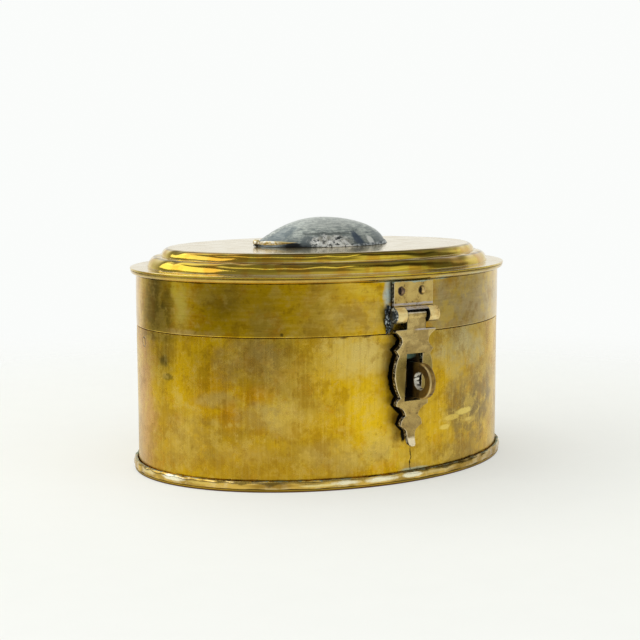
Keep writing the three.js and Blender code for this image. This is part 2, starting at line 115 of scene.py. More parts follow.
class Wire:
    """One socket in a finish's node tree. Arithmetic on it adds Math nodes, and node() any other node."""

    def __init__(self, tree, socket=None):
        self.tree, self.socket = tree, socket

    def node(self, kind, settings=None, inputs=None, output=0):
        """Adds a node, sets its settings (a ramp's stops among them), then sets or links its sockets."""
        made = self.tree.nodes.new(kind)
        for name, value in (settings or {}).items():
            if name == "stops":
                for place, colour in value[1:-1]:
                    made.color_ramp.elements.new(place)
                for element, (place, colour) in zip(made.color_ramp.elements, value):
                    element.position, element.color = place, colour
            else:
                setattr(made, name, value)
        for name, value in (inputs or {}).items():
            if isinstance(value, Wire):
                self.tree.links.new(value.socket, made.inputs[name])
            else:
                made.inputs[name].default_value = value
        return Wire(self.tree, made.outputs[output])

    def maths(self, operation, first, second=0.0):
        return self.node("ShaderNodeMath", {"operation": operation}, {0: first, 1: second})

    def vector(self, operation, second, output=0):
        return self.node("ShaderNodeVectorMath", {"operation": operation}, {0: self, 1: second}, output)

    def __add__(self, other):
        return self.maths("ADD", self, other)

    def __sub__(self, other):
        return self.maths("SUBTRACT", self, other)

    def __rsub__(self, other):
        return self.maths("SUBTRACT", other, self)

    def __mul__(self, other):
        return self.maths("MULTIPLY", self, other)

    def __truediv__(self, other):
        return self.maths("DIVIDE", self, other)

    def __abs__(self):
        return self.maths("ABSOLUTE", self)

    __radd__ = __add__
    __rmul__ = __mul__


def finish(name, **settings):
    """A new material, its Principled shader with the settings that are the same all over, and the Object
    coordinates in its node tree."""
    material = bpy.data.materials.new(name)
    material.use_nodes = True
    shader = material.node_tree.nodes["Principled BSDF"]
    for socket, value in settings.items():
        shader.inputs[socket.replace("_", " ")].default_value = value
    return material, shader, Wire(material.node_tree).node("ShaderNodeTexCoord", output="Object")


def axis_mm(place, axis):
    """One of a point's coordinates, in millimetres."""
    return place.node("ShaderNodeSeparateXYZ", {}, {0: place}, output=axis) / MM


def between(value, low, high):
    """0 where value is at low, 1 where it is at high, with a smooth step between them."""
    limits = {0: value, 1: low, 2: high}
    return value.node("ShaderNodeMapRange", {"interpolation_type": "SMOOTHSTEP"}, limits)


def cloud(place, scale, detail=3.0, rough=0.55, stretch=(1, 1, 1)):
    """Noise from 0 to 1 about a half, with scale cells to the metre, drawn out along an axis whose stretch is
    under 1."""
    stretched = place.vector("MULTIPLY", stretch)
    sockets = {"Vector": stretched, "Scale": scale, "Detail": detail, "Roughness": rough}
    return place.node("ShaderNodeTexNoise", {}, sockets)


def rgb(red, green, blue):
    """A colour as seen on a screen, 0 to 255, as the linear light that a shader takes."""
    share = np.array([red, green, blue]) / 255
    return (*np.where(share <= 0.04045, share / 12.92, ((share + 0.055) / 1.055) ** 2.4), 1.0)


def tint(factor, under, over):
    """The under colour where factor is 0, and the over colour where it is 1."""
    return factor.node("ShaderNodeMix", {"data_type": "RGBA"}, {0: factor, 6: under, 7: over}, output=2)


def lay(piece, material, shader, colour, roughness, height=None, depth=0.0, bare=None):
    """Links a finish's colour, roughness, bump to a depth in metres and share of bare metal, where these are
    given, and puts it on a piece."""
    links = {"Base Color": colour, "Roughness": roughness, "Metallic": bare}
    if height is not None:
        sockets = {"Height": height, "Distance": depth, "Strength": 1.0}
        links["Normal"] = height.node("ShaderNodeBump", {}, sockets)
    for socket, wire in links.items():
        if wire is not None:
            material.node_tree.links.new(wire.socket, shader.inputs[socket])
    piece.data.materials.clear()
    piece.data.materials.append(material)


def stands_for(piece, node, body):
    """Hides the CAD node that a piece replaces and attaches the piece to the body it moves with."""
    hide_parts(node)
    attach(piece, body)


TAN, OLIVE = rgb(202, 166, 54), rgb(138, 120, 50)
plate_section = np.concatenate([
    rounded((PLATE_REACH, 0), (-0.7, 0), (0, 0.5), 5),
    rounded((PLATE_REACH, PLATE_TOP), (0, -0.2), (-0.3, 0), 4),
])
plate_edge = round_oval(turns, plate_section[:, 0], plate_section[:, 1])
base_plate = metal("base_plate_sheet", filled_oval(plate_edge, 0.98, 12), ring=False)
material, shader, place = finish("sheet_brass_floor", Metallic=1.0)
stain = cloud(place, 30)
colour = tint(between(stain, 0.4, 0.65), TAN, OLIVE)
# The plate's lowest half millimetre is darkened brown: painted shade at its edge under the rim.
shaded_low_edge = axis_mm(place, 2) + (stain - 0.5) * 0.8
colour = tint(between(shaded_low_edge, 0.9, 0.5), colour, rgb(92, 60, 36))
lay(base_plate, material, shader, colour, 0.34 + 0.2 * stain, cloud(place, 900), 0.02 * MM)
stands_for(base_plate, "base_plate", "case")

# Base rim: a strip of brass bent round the foot of the wall and soldered to the plate and the wall.
# It was closed down with a hammer, so its face is a row of small flats, green and dark along the top.
RIM_LOW, RIM_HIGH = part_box("base_rim")[0].z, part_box("base_rim")[1].z
RIM_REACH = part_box("base_rim")[1].x - HALF_LENGTH
RIM_INNER, RIM_SHOULDER = 0.3 * MM, 3 * MM


def ripple(turn, height, low, high, climb, size, seed):
    """Hand-made unevenness: a sum of sines with low to high counts to a turn, each climbing with height at
    its own rate up to climb radians a metre, with seeded weights and phases and a usual height of size."""
    rng = np.random.default_rng(seed)
    counts = np.arange(low, high + 1)
    rates, phases = rng.uniform(-climb, climb, counts.size), rng.uniform(0, 2 * np.pi, counts.size)
    weights = rng.normal(size=counts.size)
    waves = np.sin(turn[..., None] * counts + height[..., None] * rates + phases) * weights
    return size * waves.sum(-1) / np.sqrt((weights**2).sum() / 2)


def wall_chart(place):
    """The map of distance along the wall and height that metal() puts on a piece, in metres."""
    return place.node("ShaderNodeUVMap", {"uv_map": "chart"})


def off_oval(along, up, middle, half):
    """0 at the middle of an oval, 1 on its edge and more outside: the sum of the squares of two shares."""
    over, above = (along - middle[0]) / half[0], (up - middle[1]) / half[1]
    return over * over + above * above


def marked(colour, chart, marks, soft=1.4, tear=7.0):
    """Lays marks on a colour: stains, and painted highlights and painted shade where a list holds them. Each
    mark has its distance along the wall from the middle of the front, its height and half sizes in
    millimetres, how far it covers and its colour. Noise tears the edges, and soft widens them."""
    along, up = axis_mm(chart, 0), axis_mm(chart, 1)
    torn = (cloud(chart, 90, 6, 0.7) - 0.5) * tear
    for distance, height, across, tall, cover, shade in marks:
        off = off_oval(along, up, (distance, height), (across, tall)) + torn
        colour = tint(between(off, 1 + soft, 1 - soft) * cover, colour, shade)
    return colour


rim_section = np.concatenate([
    bend((RIM_INNER, RIM_LOW), (1 * MM, RIM_LOW), (1.7 * MM, RIM_LOW), 3),
    bend((1.9 * MM, RIM_LOW + 0.1 * MM), (RIM_REACH, RIM_LOW + 0.3 * MM), (RIM_REACH, 2.4 * MM), 5),
    bend((RIM_REACH, RIM_SHOULDER), (RIM_REACH, RIM_HIGH - 0.2 * MM), (1.3 * MM, RIM_HIGH), 7),
    bend((0.9 * MM, RIM_HIGH), (RIM_INNER, RIM_HIGH), (RIM_INNER, RIM_HIGH - 0.5 * MM), 5),
])
rim_out, rim_up = rim_section.T
oval_run = round_oval(np.concatenate([turns, turns[:1]]), 0, 0)
oval_chart = np.concatenate([[0], np.cumsum(np.linalg.norm(np.diff(oval_run, axis=0), axis=-1))])
oval_chart = oval_chart - oval_chart[-1] / 2
hammering = ripple(turns, rim_up[None, :], 26, 64, 900, 0.13 * MM, 5) - 0.15 * MM
outer_share = np.clip((rim_out - RIM_INNER) / (1.2 * MM), 0, 1)
upper_edge = (rim_up > RIM_SHOULDER) & (rim_up < RIM_HIGH)
base_rim = metal("base_rim_strip", round_oval(
    turns,
    rim_out + np.minimum(hammering, 0) * outer_share,
    rim_up + ripple(turns, turns * 0, 20, 60, 0, 0.06 * MM, 6) * upper_edge,
), chart=oval_chart)
material, shader, place = finish("hammered_brass", Metallic=1.0)
height_mm = axis_mm(place, 2)
mottle, patches, flecks = cloud(place, 180, 4), cloud(place, 42, 3), cloud(place, 500, 4, 0.6)
GLINT = rgb(255, 248, 214)
# Most rim marks are glints: painted highlights on the hammered flats. The brown one at -62 is a darker patch.
rim_marks = [
    (-123, 3.4, 5, 0.9, 0.7, rgb(240, 222, 160)), (-106, 3.5, 6, 1.1, 1, rgb(255, 250, 220)),
    (-92, 3, 7, 0.6, 0.6, rgb(232, 206, 110)), (-42, 2.7, 9, 0.5, 0.8, rgb(246, 230, 160)),
    (-30, 3.2, 6, 0.9, 0.9, GLINT), (-14, 3.2, 8, 1.1, 1, GLINT), (1, 3.4, 5, 1, 1, GLINT),
    (-62, 3, 12, 0.9, 0.6, rgb(150, 112, 30)), (18, 3.2, 9, 0.7, 0.6, rgb(226, 204, 140)),
]
colour = tint(between(patches, 0.42, 0.6), rgb(222, 186, 90), rgb(176, 144, 66))
colour = tint(between(mottle, 0.5, 0.62) * 0.35, colour, rgb(246, 228, 176))
colour = tint(between(mottle, 0.44, 0.34) * 0.35, colour, rgb(112, 88, 34))
colour = marked(colour, wall_chart(place), rim_marks, 0.7, 4.0)
dirt = between(height_mm + (flecks - 0.5) * 1.6 + (mottle - 0.5) * 0.9, 4.6, 4.85)
green = between(patches + (flecks - 0.5) * 0.3, 0.44, 0.5)
colour = tint(dirt, colour, tint(green, rgb(92, 78, 42), rgb(172, 186, 164)))
roughness = 0.16 + 0.4 * dirt + 0.1 * flecks
lay(base_rim, material, shader, colour, roughness, flecks * 0.3 + mottle, 0.12 * MM)
stands_for(base_rim, "base_rim", "case")

# Body wall: a strip of sheet brass bent into an oval by hand and brazed to itself behind the hasp.
# It was rubbed up and down with polish, which left fine upright lines, gold and tan patches and stains.
WALL_LOW, WALL_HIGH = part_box("body_wall")[0].z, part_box("body_wall")[1].z
SHEET = 1.1 * MM
wall_heights = np.linspace(WALL_LOW, WALL_HIGH - 0.25 * MM, 56)
wall_section = np.concatenate([
    np.stack([wall_heights * 0, wall_heights], -1),
    rounded((0, WALL_HIGH), (0, -0.2), (-0.25, 0), 4),
    rounded((-SHEET, WALL_HIGH), (0.25, 0), (0, -0.3), 4),
    np.stack([np.full(8, -SHEET), np.linspace(WALL_HIGH - 1 * MM, WALL_LOW, 8)], -1),
])
wall_out, wall_up = wall_section.T
wall_dents = ripple(turns, wall_up[None, :], 3, 16, 90, 0.07 * MM, 11)
wall_dents = wall_dents * np.clip((WALL_HIGH - wall_up) / (6 * MM), 0, 1) - 0.1 * MM
body_wall = metal("body_wall_sheet", round_oval(turns, wall_out + wall_dents, wall_up), chart=oval_chart)
GOLD, AMBER, PALE, UMBER = rgb(224, 180, 16), rgb(204, 144, 18), rgb(222, 190, 112), rgb(96, 70, 20)
# The first colour here, a near-black, darkens real cracks and seams and is also laid as painted shadow in
# gaps and behind fittings.
SOOT_AND_SHADE, VERDIGRIS = rgb(24, 20, 12), rgb(176, 204, 192)


def rubbed_brass(place, chart, grain, marks):
    """Colour, height and mottling of rubbed sheet brass: gold with soft tan and amber clouds, the marks on
    its chart, blotches of pale wear and of brown, and fine lines along the grain, their noise's stretch."""
    clouds, mottle = cloud(place, 34, 4, 0.6, (1, 1, 0.8)), cloud(place, 130, 5, 0.7)
    blotch, smear = cloud(place, 300, 7, 0.75), cloud(place, 75, 7, 0.72)
    lines = cloud(place, 1000, 3, 0.6, grain)
    colour = tint(between(clouds, 0.42, 0.6), GOLD, TAN)
    colour = tint(between(mottle, 0.48, 0.66) * 0.6, colour, AMBER)
    colour = marked(colour, chart, marks)
    colour = tint(between(smear, 0.52, 0.6) * 0.45, colour, rgb(232, 198, 84))
    colour = tint(between(smear, 0.48, 0.4) * 0.4, colour, rgb(164, 120, 22))
    colour = tint(between(blotch, 0.5, 0.66) * 0.25, colour, PALE)
    colour = tint(between(blotch, 0.47, 0.33) * 0.14, colour, UMBER)
    colour = tint(between(lines, 0.47, 0.36) * 0.12, colour, rgb(128, 92, 24))
    colour = tint(between(lines, 0.53, 0.64) * 0.13, colour, rgb(240, 208, 110))
    return colour, lines * 0.6 + blotch * 0.4, mottle


def unpolished_inside(place, colour, mottle):
    """Leaves the sheet's inner face brown, inside the oval x^2 / a^2 + y^2 / b^2 = 1 halfway through it."""
    middle = (1 / (HALF_LENGTH - SHEET / 2), 1 / (HALF_WIDTH - SHEET / 2), 0)
    share = place.vector("MULTIPLY", middle).vector("LENGTH", (0, 0, 0), "Value")
    brown = tint(between(mottle, 0.4, 0.65), rgb(186, 148, 70), rgb(138, 106, 48))
    return tint(between(share, 1.002, 0.998), colour, brown)


def band(value, start, full, fade, end):
    """0 before start, 1 from full to fade and 0 after end, with smooth steps between them."""
    return between(value, start, full) * between(value, end, fade)


material, shader, place = finish("rubbed_brass_body", Metallic=1.0)
chart = wall_chart(place)
ROSE, SMUDGE, PALE_TAN = rgb(216, 164, 98), rgb(176, 146, 78), rgb(200, 174, 98)
# The narrow pale mark at -86 mm along and 38.5 mm up is a painted highlight.
body_marks = [
    (-130, 34, 9, 34, 0.75, ROSE), (-113, 63.5, 19, 2, 0.6, rgb(112, 92, 28)), (-98, 49, 14, 15, 0.9, GOLD),
    (-112, 55, 5, 6, 0.4, OLIVE), (-112.5, 53.5, 2.6, 2, 0.8, rgb(84, 74, 26)),
    (-111, 46.4, 3, 1.2, 0.7, rgb(88, 76, 30)), (-88, 44, 9, 12, 0.5, AMBER),
    (-72, 55, 12, 9.5, 0.7, SMUDGE), (-86, 38.5, 9, 3, 0.6, PALE_TAN), (-80, 31, 4.5, 6, 0.85, AMBER),
    (-69, 42, 7, 4, 0.7, AMBER), (-68, 32, 8, 5, 0.7, PALE_TAN), (-99, 20, 12, 10, 0.6, PALE_TAN),
    (-85, 23, 13, 8, 0.55, rgb(160, 124, 34)), (-60, 13, 42, 12, 0.65, rgb(178, 146, 48)),
    (-74, 16, 9, 4, 0.3, PALE), (-58, 52, 9, 10, 0.4, SMUDGE), (-44, 60, 8, 4.5, 0.85, GOLD),
    (-55, 31, 9, 7, 0.6, PALE_TAN), (-35, 47, 9, 9, 0.9, GOLD), (-46, 27, 8, 6, 0.5, GOLD),
    (-20, 32, 9, 13, 0.95, rgb(236, 194, 30)), (-24, 57.5, 15, 8, 0.85, rgb(232, 206, 116)),
    (-48, 52, 9, 8, 0.6, rgb(226, 186, 60)), (-33, 14, 15, 6, 0.5, PALE_TAN),
    (-14, 16, 9, 8, 0.7, rgb(224, 196, 92)), (-15, 14.9, 4.5, 3.4, 0.5, SMUDGE), (19, 38, 7, 20, 0.85, GOLD),
    (44, 34, 17, 14, 0.85, rgb(172, 146, 82)), (44, 27, 20, 9, 0.75, rgb(124, 102, 54)),
    (36, 9, 18, 7, 0.75, rgb(148, 122, 62)), (34, 56, 16, 9, 0.9, rgb(218, 200, 138)),
    (1.5, 6, 5, 2, 0.7, SMUDGE), (4, 5.2, 7, 0.7, 0.6, VERDIGRIS),
    (-21, 64.9, 2, 0.5, 0.9, UMBER), (-31, 64.9, 1.6, 0.5, 0.9, UMBER),
]
# Black on the wall round the staple, inside the hasp's slot: painted shadow.
slot_shadow_round_staple = [(-0.5, 46.4, 5.6, 11, 1, SOOT_AND_SHADE)]
scuffs = [
    (0.4, 55.4, 3.2, 1.5, 0.9, rgb(128, 158, 138)), (36, 26.6, 6, 1.5, 0.8, rgb(240, 214, 112)),
    (27, 25, 5, 1.2, 0.7, rgb(236, 206, 100)), (22, 21.4, 3.6, 1.1, 0.8, rgb(236, 208, 104)),
    (40, 22.4, 3, 0.8, 0.6, rgb(232, 204, 106)),
]
HASP_TOP, HASP_LEAN = 67.4 * MM, 0.055
WIDEST, TALLEST = 12, 100
behind_hasp = [
    (17, 0), (19, 1), (23, 1.6), (26, 4.9), (30.2, 2.9), (34.8, 7.8), (38, 6.2), (42, 8.5), (47, 9.7),
    (52, 9.1), (56.4, 7.9), (58.6, 9.3), (61, 6.7), (63, 6.1), (66.6, 10.3), (67.4, 9.9),
]
colour, fine, mottle = rubbed_brass(place, chart, (1, 1, 0.04), body_marks)
along, up = axis_mm(chart, 0), axis_mm(chart, 1)
colour = tint(between(up, 42, 10) * between(along, -10, -50) * 0.3, colour, rgb(150, 112, 30))
stops = [(height / TALLEST, (width / WIDEST,) * 3 + (1,)) for height, width in behind_hasp]
half_mm = place.node("ShaderNodeValToRGB", {"stops": stops}, {0: up / TALLEST}) * WIDEST
# Behind the hasp the wall is tarnished brown, and a black band along the hasp's outline is painted shadow of
# the plate.
off_hasp = abs(along + HASP_LEAN * (HASP_TOP / MM - up)) - half_mm + (cloud(chart, 500, 4) - 0.5) * 1.6
brown = tint(between(mottle, 0.42, 0.6), rgb(112, 88, 40), rgb(70, 54, 26))
shadow_edged_tarnish = tint(between(off_hasp, -1.6, -2.4), SOOT_AND_SHADE, brown)
colour = tint(between(off_hasp, 0.4, -0.2) * between(up, 17, 19), colour, shadow_edged_tarnish)
colour = marked(colour, chart, slot_shadow_round_staple, 0.4, 2.0)
colour = marked(colour, chart, scuffs, 0.5, 3.0)
stray = (cloud(chart, 260, 3) - 0.5) * 5 + 1.4
crack = between(abs(along - stray), 0.34, 0.1) * band(up, 4.6, 5.6, 17, 18.5)
colour = tint(crack, colour, SOOT_AND_SHADE)
punched_ring = abs(off_oval(along, up, (-130, 59.7), (1.8, 2.1)) - 1)
colour = tint(between(punched_ring, 0.55, 0.2) * 0.7, colour, rgb(110, 84, 40))
colour = unpolished_inside(place, colour, mottle)
dull = between(off_oval(along, up, (-3, 46), (13, 26)), 1.4, 0.6)
roughness = 0.2 + 0.3 * (mottle - 0.5) + 0.12 * fine + 0.22 * dull
relief = fine - crack * 3 - between(punched_ring, 0.7, 0.1) * 4
lay(body_wall, material, shader, colour, roughness, relief, 0.05 * MM)
stands_for(body_wall, "body_wall", "case")

# Mouth bezel: a thin strip soldered inside the mouth. It stands a little above the seam and guides the lid.
# Its upper edge is drawn in, and it was never polished.
BEZEL_LOW, BEZEL_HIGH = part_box("mouth_bezel")[0].z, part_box("mouth_bezel")[1].z
BEZEL_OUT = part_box("mouth_bezel")[1].x - HALF_LENGTH
BEZEL_IN = BEZEL_OUT - 0.9 * MM
bezel_section = np.concatenate([
    bend((BEZEL_IN, BEZEL_LOW), ((BEZEL_IN + BEZEL_OUT) / 2, BEZEL_LOW), (BEZEL_OUT, BEZEL_LOW), 3),
    rounded((BEZEL_OUT, BEZEL_HIGH), (0, -1.4), (-0.45, 0), 6),
    rounded((BEZEL_IN, BEZEL_HIGH), (0.2, 0), (0, -0.3), 4),
])
mouth_bezel = metal("mouth_bezel_strip", round_oval(turns, bezel_section[:, 0], bezel_section[:, 1]))
material, shader, place = finish("unpolished_brass", Metallic=1.0)
stain = cloud(place, 120, 4)
colour = tint(between(stain, 0.4, 0.65), rgb(176, 146, 78), rgb(112, 94, 48))
lay(mouth_bezel, material, shader, colour, 0.4 + 0.2 * stain, cloud(place, 800, 3), 0.03 * MM)
stands_for(mouth_bezel, "mouth_bezel", "case")

# Staple: a flat D of thick brass with a drilled padlock eye. Its tang goes through a slot in the wall and is
# peened over an oval washer inside. Its faces are brown from handling, and the eye is worn bright. The left
# face and the part behind the hasp carry painted shade, the outer rim a painted highlight and the eye a
# painted reflection.
FRONT = -HALF_WIDTH
STAPLE_HALF = 1.6 * MM
EYE_RADIUS, EYE_OUT, EYE_HEIGHT = 3.65 * MM, 9.5 * MM, 45.6 * MM
D_RADIUS, D_STRAIGHT, D_FOOT = 7.6 * MM, 9.7 * MM, 0.3 * MM
TANG_HALF, TANG_TALL, PEEN_HALF, PEEN_TALL = 1.2 * MM, 4 * MM, 2.3 * MM, 5.2 * MM
WASHER_HALF, WASHER_TALL, SLOT_WIDE, SLOT_TALL = 6 * MM, 8.5 * MM, 1.5 * MM, 4.3 * MM
PIT_DEPTH = 0.08 * MM


def rounded_box(low_u, high_u, low_v, high_v, corner, along=1):
    """Section of a bar, turning left from its right-hand side: u and v of a rectangle with rounded corners,
    each a quarter circle of six points, with along extra points on each side. The limits may be arrays."""
    quarter = np.linspace(0, np.pi / 2, 6)
    low_u, high_u, low_v, high_v = np.broadcast_arrays(low_u, high_u, low_v, high_v)
    middles = [(high_u - corner, high_v - corner), (low_u + corner, high_v - corner),
               (low_u + corner, low_v + corner), (high_u - corner, low_v + corner)]
    corners = []
    for step, (u, v) in enumerate(middles):
        angle = quarter + step * np.pi / 2
        corner_u, corner_v = u[..., None] + corner * np.cos(angle), v[..., None] + corner * np.sin(angle)
        corners.append(np.stack([corner_u, corner_v], -1))
    share = np.linspace(0, 1, along + 2)[1:-1, None]
    sides = [here[..., -1:, :] * (1 - share) + there[..., :1, :] * share
             for here, there in zip(corners, corners[1:] + corners[:1])]
    return np.concatenate([part for pair in zip(corners, sides) for part in pair], -2)


def upright_bar(heights, left, right, near, far, corner, low_round, high_round, along=1):
    """A bar carried up through heights, with a rounded box as its level section and limits that follow the
    height. Its ends are rounded too: near an end the section draws in by r (1 - sin a) at r (1 - cos a)."""
    angle = np.linspace(0, np.pi / 2, 5)
    back = angle[::-1]
    low, high = heights[0], heights[-1]
    inner = heights[(heights > low + low_round) & (heights < high - high_round)]
    foot, head = low + low_round * (1 - np.cos(angle)), high - high_round * (1 - np.cos(back))
    at = np.concatenate([foot, inner, head])
    draw = np.concatenate([low_round * (1 - np.sin(angle)), inner * 0, high_round * (1 - np.sin(back))])
    sides = [np.broadcast_to(side, heights.shape) for side in (left, right, near, far)]
    left, right, near, far = [np.interp(at, heights, side) for side in sides]
    section = rounded_box(left + draw, right - draw, near + draw, far - draw, corner, along)
    level = np.broadcast_to(at[:, None, None], section.shape[:2] + (1,))
    return np.concatenate([section, level], -1).swapaxes(0, 1)


def reach_to(distance, lean):
    """How far along a ray a straight side at a distance is met, the ray leaning to it by a cosine."""
    return distance / np.maximum(lean, 1e-6)


around = np.linspace(0, 2 * np.pi, 96, endpoint=False)
ray_out, ray_up = np.cos(around), np.sin(around)
shift = EYE_OUT - D_STRAIGHT
to_arc = -shift * ray_out + np.sqrt(D_RADIUS**2 - (shift * ray_up) ** 2)
to_edge = np.minimum(reach_to(EYE_OUT - D_FOOT, -ray_out), reach_to(D_RADIUS, np.abs(ray_up)))
to_edge = np.where(EYE_OUT + to_edge * ray_out > D_STRAIGHT, to_arc, to_edge)
ring_section = rounded_box(np.full(96, EYE_RADIUS), to_edge, -STAPLE_HALF, STAPLE_HALF, 0.7 * MM, 3)
reach, side = ring_section[..., 0], ring_section[..., 1]
blade_y, blade_z = FRONT - EYE_OUT - reach * ray_out[:, None], EYE_HEIGHT + reach * ray_up[:, None]
staple = metal("staple_plate", np.stack([side, blade_y, blade_z], -1)[::-1])
tang = upright_bar(
    np.linspace(EYE_HEIGHT - TANG_TALL, EYE_HEIGHT + TANG_TALL, 9), -TANG_HALF, TANG_HALF,
    FRONT - 0.6 * MM, FRONT + 3 * MM, 0.1 * MM, 0, 0,
)
peen = upright_bar(
    np.linspace(EYE_HEIGHT - PEEN_TALL, EYE_HEIGHT + PEEN_TALL, 9), -PEEN_HALF, PEEN_HALF,
    FRONT + 2.55 * MM, FRONT + 3.65 * MM, 0.5 * MM, 0.5 * MM, 0.5 * MM,
)
staple_tang = metal("staple_tang", tang, peen, ring=False)
washer_edge = np.hypot(WASHER_HALF * ray_out, WASHER_TALL * ray_up)
washer_hole = np.minimum(reach_to(SLOT_WIDE, np.abs(ray_out)), reach_to(SLOT_TALL, np.abs(ray_up)))
washer_section = rounded_box(washer_hole, washer_edge, 0.0, 1 * MM, 0.2 * MM, 2)
washer = np.stack([
    washer_section[..., 0] * ray_out[:, None],
    FRONT + 1.4 * MM + washer_section[..., 1],
    EYE_HEIGHT + washer_section[..., 0] * ray_up[:, None],
], -1)
staple_washer = metal("staple_washer_plate", washer[::-1])


def worn_brass(name, clean, dull, dark, share=0.65):
    """Finish of a handled fitting: clean brass, dull patches and dark pits, with its share of bare metal.
    Gives the material, its shader and coordinates, the colour so far, the pits and the mottling."""
    material, shader, place = finish(name, Metallic=share)
    mottle, pits = cloud(place, 240, 4, 0.6), cloud(place, 1100, 4, 0.65)
    colour = tint(between(mottle, 0.4, 0.62), clean, dull)
    pitted = between(pits * 0.65 + mottle * 0.35, 0.56, 0.64)
    return material, shader, place, tint(pitted * 0.7, colour, dark), pitted, mottle


def out_mm(place):
    """How far a point stands out from the wall at the middle of the front, in millimetres."""
    return FRONT / MM - axis_mm(place, 1)


def off_line_mm(place, axes, point):
    """Distance in millimetres from a line through a point, along the axis that axes leaves out."""
    return place.vector("MULTIPLY", axes).vector("DISTANCE", point, "Value") / MM


for piece, node in ((staple, "staple"), (staple_tang, "staple"), (staple_washer, "staple_washer")):
    material, shader, place, colour, pitted, mottle = worn_brass(
        piece.name + "_brass", rgb(168, 134, 66), rgb(128, 98, 42), rgb(46, 34, 16)
    )
    if piece is staple:
        across, out = axis_mm(place, 0), out_mm(place)
        # The left face is darkened: painted shade.
        shaded_left_face = tint(between(mottle, 0.4, 0.62), rgb(104, 80, 30), rgb(72, 52, 20))
        colour = tint(between(across, -1.1, -1.5) * 0.85, colour, shaded_left_face)
        # The part nearest the wall, behind the hasp, is blackened: painted shade.
        colour = tint(between(out + (mottle - 0.5) * 4, 7.2, 4.4), colour, SOOT_AND_SHADE)
        # A bright line along the outer rim: painted highlight.
        edge = band(across, -1.62, -1.4, -1.1, -0.7)
        colour = tint(edge * between(out, 9, 11) * 0.7, colour, rgb(226, 200, 136))
        # The eye's bore is worn bright and streaked white and dark: a painted reflection.
        off_eye = off_line_mm(place, (0, 1, 1), (0, FRONT - EYE_OUT, EYE_HEIGHT))
        bore_reflection = between(cloud(place, 800, 2, 0.5, (0.4, 1, 1)), 0.56, 0.6)
        colour = tint(between(off_eye, 3.95, 3.75), colour, tint(bore_reflection, rgb(226, 222, 208), rgb(70, 64, 52)))
    roughness = 0.3 + 0.25 * pitted + 0.12 * (mottle - 0.5)
    lay(piece, material, shader, colour, roughness, mottle - pitted, PIT_DEPTH)
    stands_for(piece, node, "case")

# Rear hinge: two small leaves of plain brass, each rolled round the pin and held by two rivets.
# The body's leaf has the two outer knuckles and the lid's leaf the middle one. The pin's ends are peened.
REAR = HALF_WIDTH
SEAM = 65.3 * MM
PIN_OUT, PIN_RADIUS, PIN_HEAD, KNUCKLE, BORE = 3.8 * MM, 1.2 * MM, 2 * MM, 3.5 * MM, 1.4 * MM
LEAF_NEAR, LEAF_FAR, LEAF_START, LEAF_END, WING_END = 0.3 * MM, 2.1 * MM, 3.9 * MM, 15 * MM, 4.4 * MM
RIVET_HEAD, RIVET_SHANK, RIVET_RISE = 1.5 * MM, 0.9 * MM, 0.8 * MM
RIVET_INNER, RIVET_OUTER = -1.4 * MM, 2.25 * MM
REAR_HALF, REAR_OUTER, REAR_MIDDLE = 11 * MM, 3.75 * MM, 3.55 * MM
REAR_RIVET_SIDE, REAR_RIVET_OFF = 6.8 * MM, 10 * MM
spin = np.linspace(0, 2 * np.pi, 48, endpoint=False)[:, None]


def turned_on_x(along, radius, y, z):
    """A profile of distances along X and radii, turned about the line through y and z."""
    return np.stack(np.broadcast_arrays(along, y + radius * np.cos(spin), z + radius * np.sin(spin)), -1)


def turned_on_y(x, along, radius, z):
    """A profile of distances along Y and radii, turned about the line through x and z."""
    return np.stack(np.broadcast_arrays(x + radius * np.sin(spin), along, z + radius * np.cos(spin)), -1)


def knuckle(start, end, y, z, outer=KNUCKLE):
    """A rolled knuckle: a tube from start to end along X with rounded rims, turned on the pin's line."""
    section = rounded_box(start, end, BORE, outer, 0.3 * MM, 2)[::-1]
    return turned_on_x(section[:, 0], section[:, 1], y, z)


def hinge_pin(half, y, z):
    """A pin with a domed head peened at each end: radius over distance along X, from crown to crown."""
    dome = np.linspace(0.05, np.pi / 2, 7)
    head = np.stack([-half - 0.15 * MM - 0.9 * MM * np.cos(dome), PIN_HEAD * np.sin(dome)], -1)
    shaft = np.array([[-half - 0.15 * MM, PIN_RADIUS]])
    profile = np.concatenate([head, shaft, shaft * (-1, 1), (head * (-1, 1))[::-1]])
    return turned_on_x(profile[:, 0], profile[:, 1], y, z)


def rivet(x, z, side):
    """A rivet through a leaf and the sheet: domed head, shank and tail on Y. Side is -1 in front."""
    dome = np.linspace(0.06, np.pi / 2, 7)
    head = np.stack([RIVET_OUTER + RIVET_RISE * np.cos(dome), RIVET_HEAD * np.sin(dome)], -1)
    tail = np.stack([RIVET_INNER - RIVET_RISE * np.cos(dome), RIVET_HEAD * np.sin(dome)], -1)
    shank = [[RIVET_INNER, RIVET_SHANK], [RIVET_OUTER, RIVET_SHANK]]
    profile = np.concatenate([tail, shank, head[::-1]])
    grid = turned_on_y(x, side * (HALF_WIDTH + profile[:, 0]), profile[:, 1], z)
    return grid if side > 0 else grid[:, ::-1]


def dress_plain(piece, clean, dull, dark, rough, depth=PIT_DEPTH):
    """Gives a piece a worn finish with nothing else on it, rough being its roughness between the pits."""
    material, shader, place, colour, pitted, mottle = worn_brass(piece.name + "_brass", clean, dull, dark)
    lay(piece, material, shader, colour, rough + 0.25 * pitted, mottle - pitted, depth)


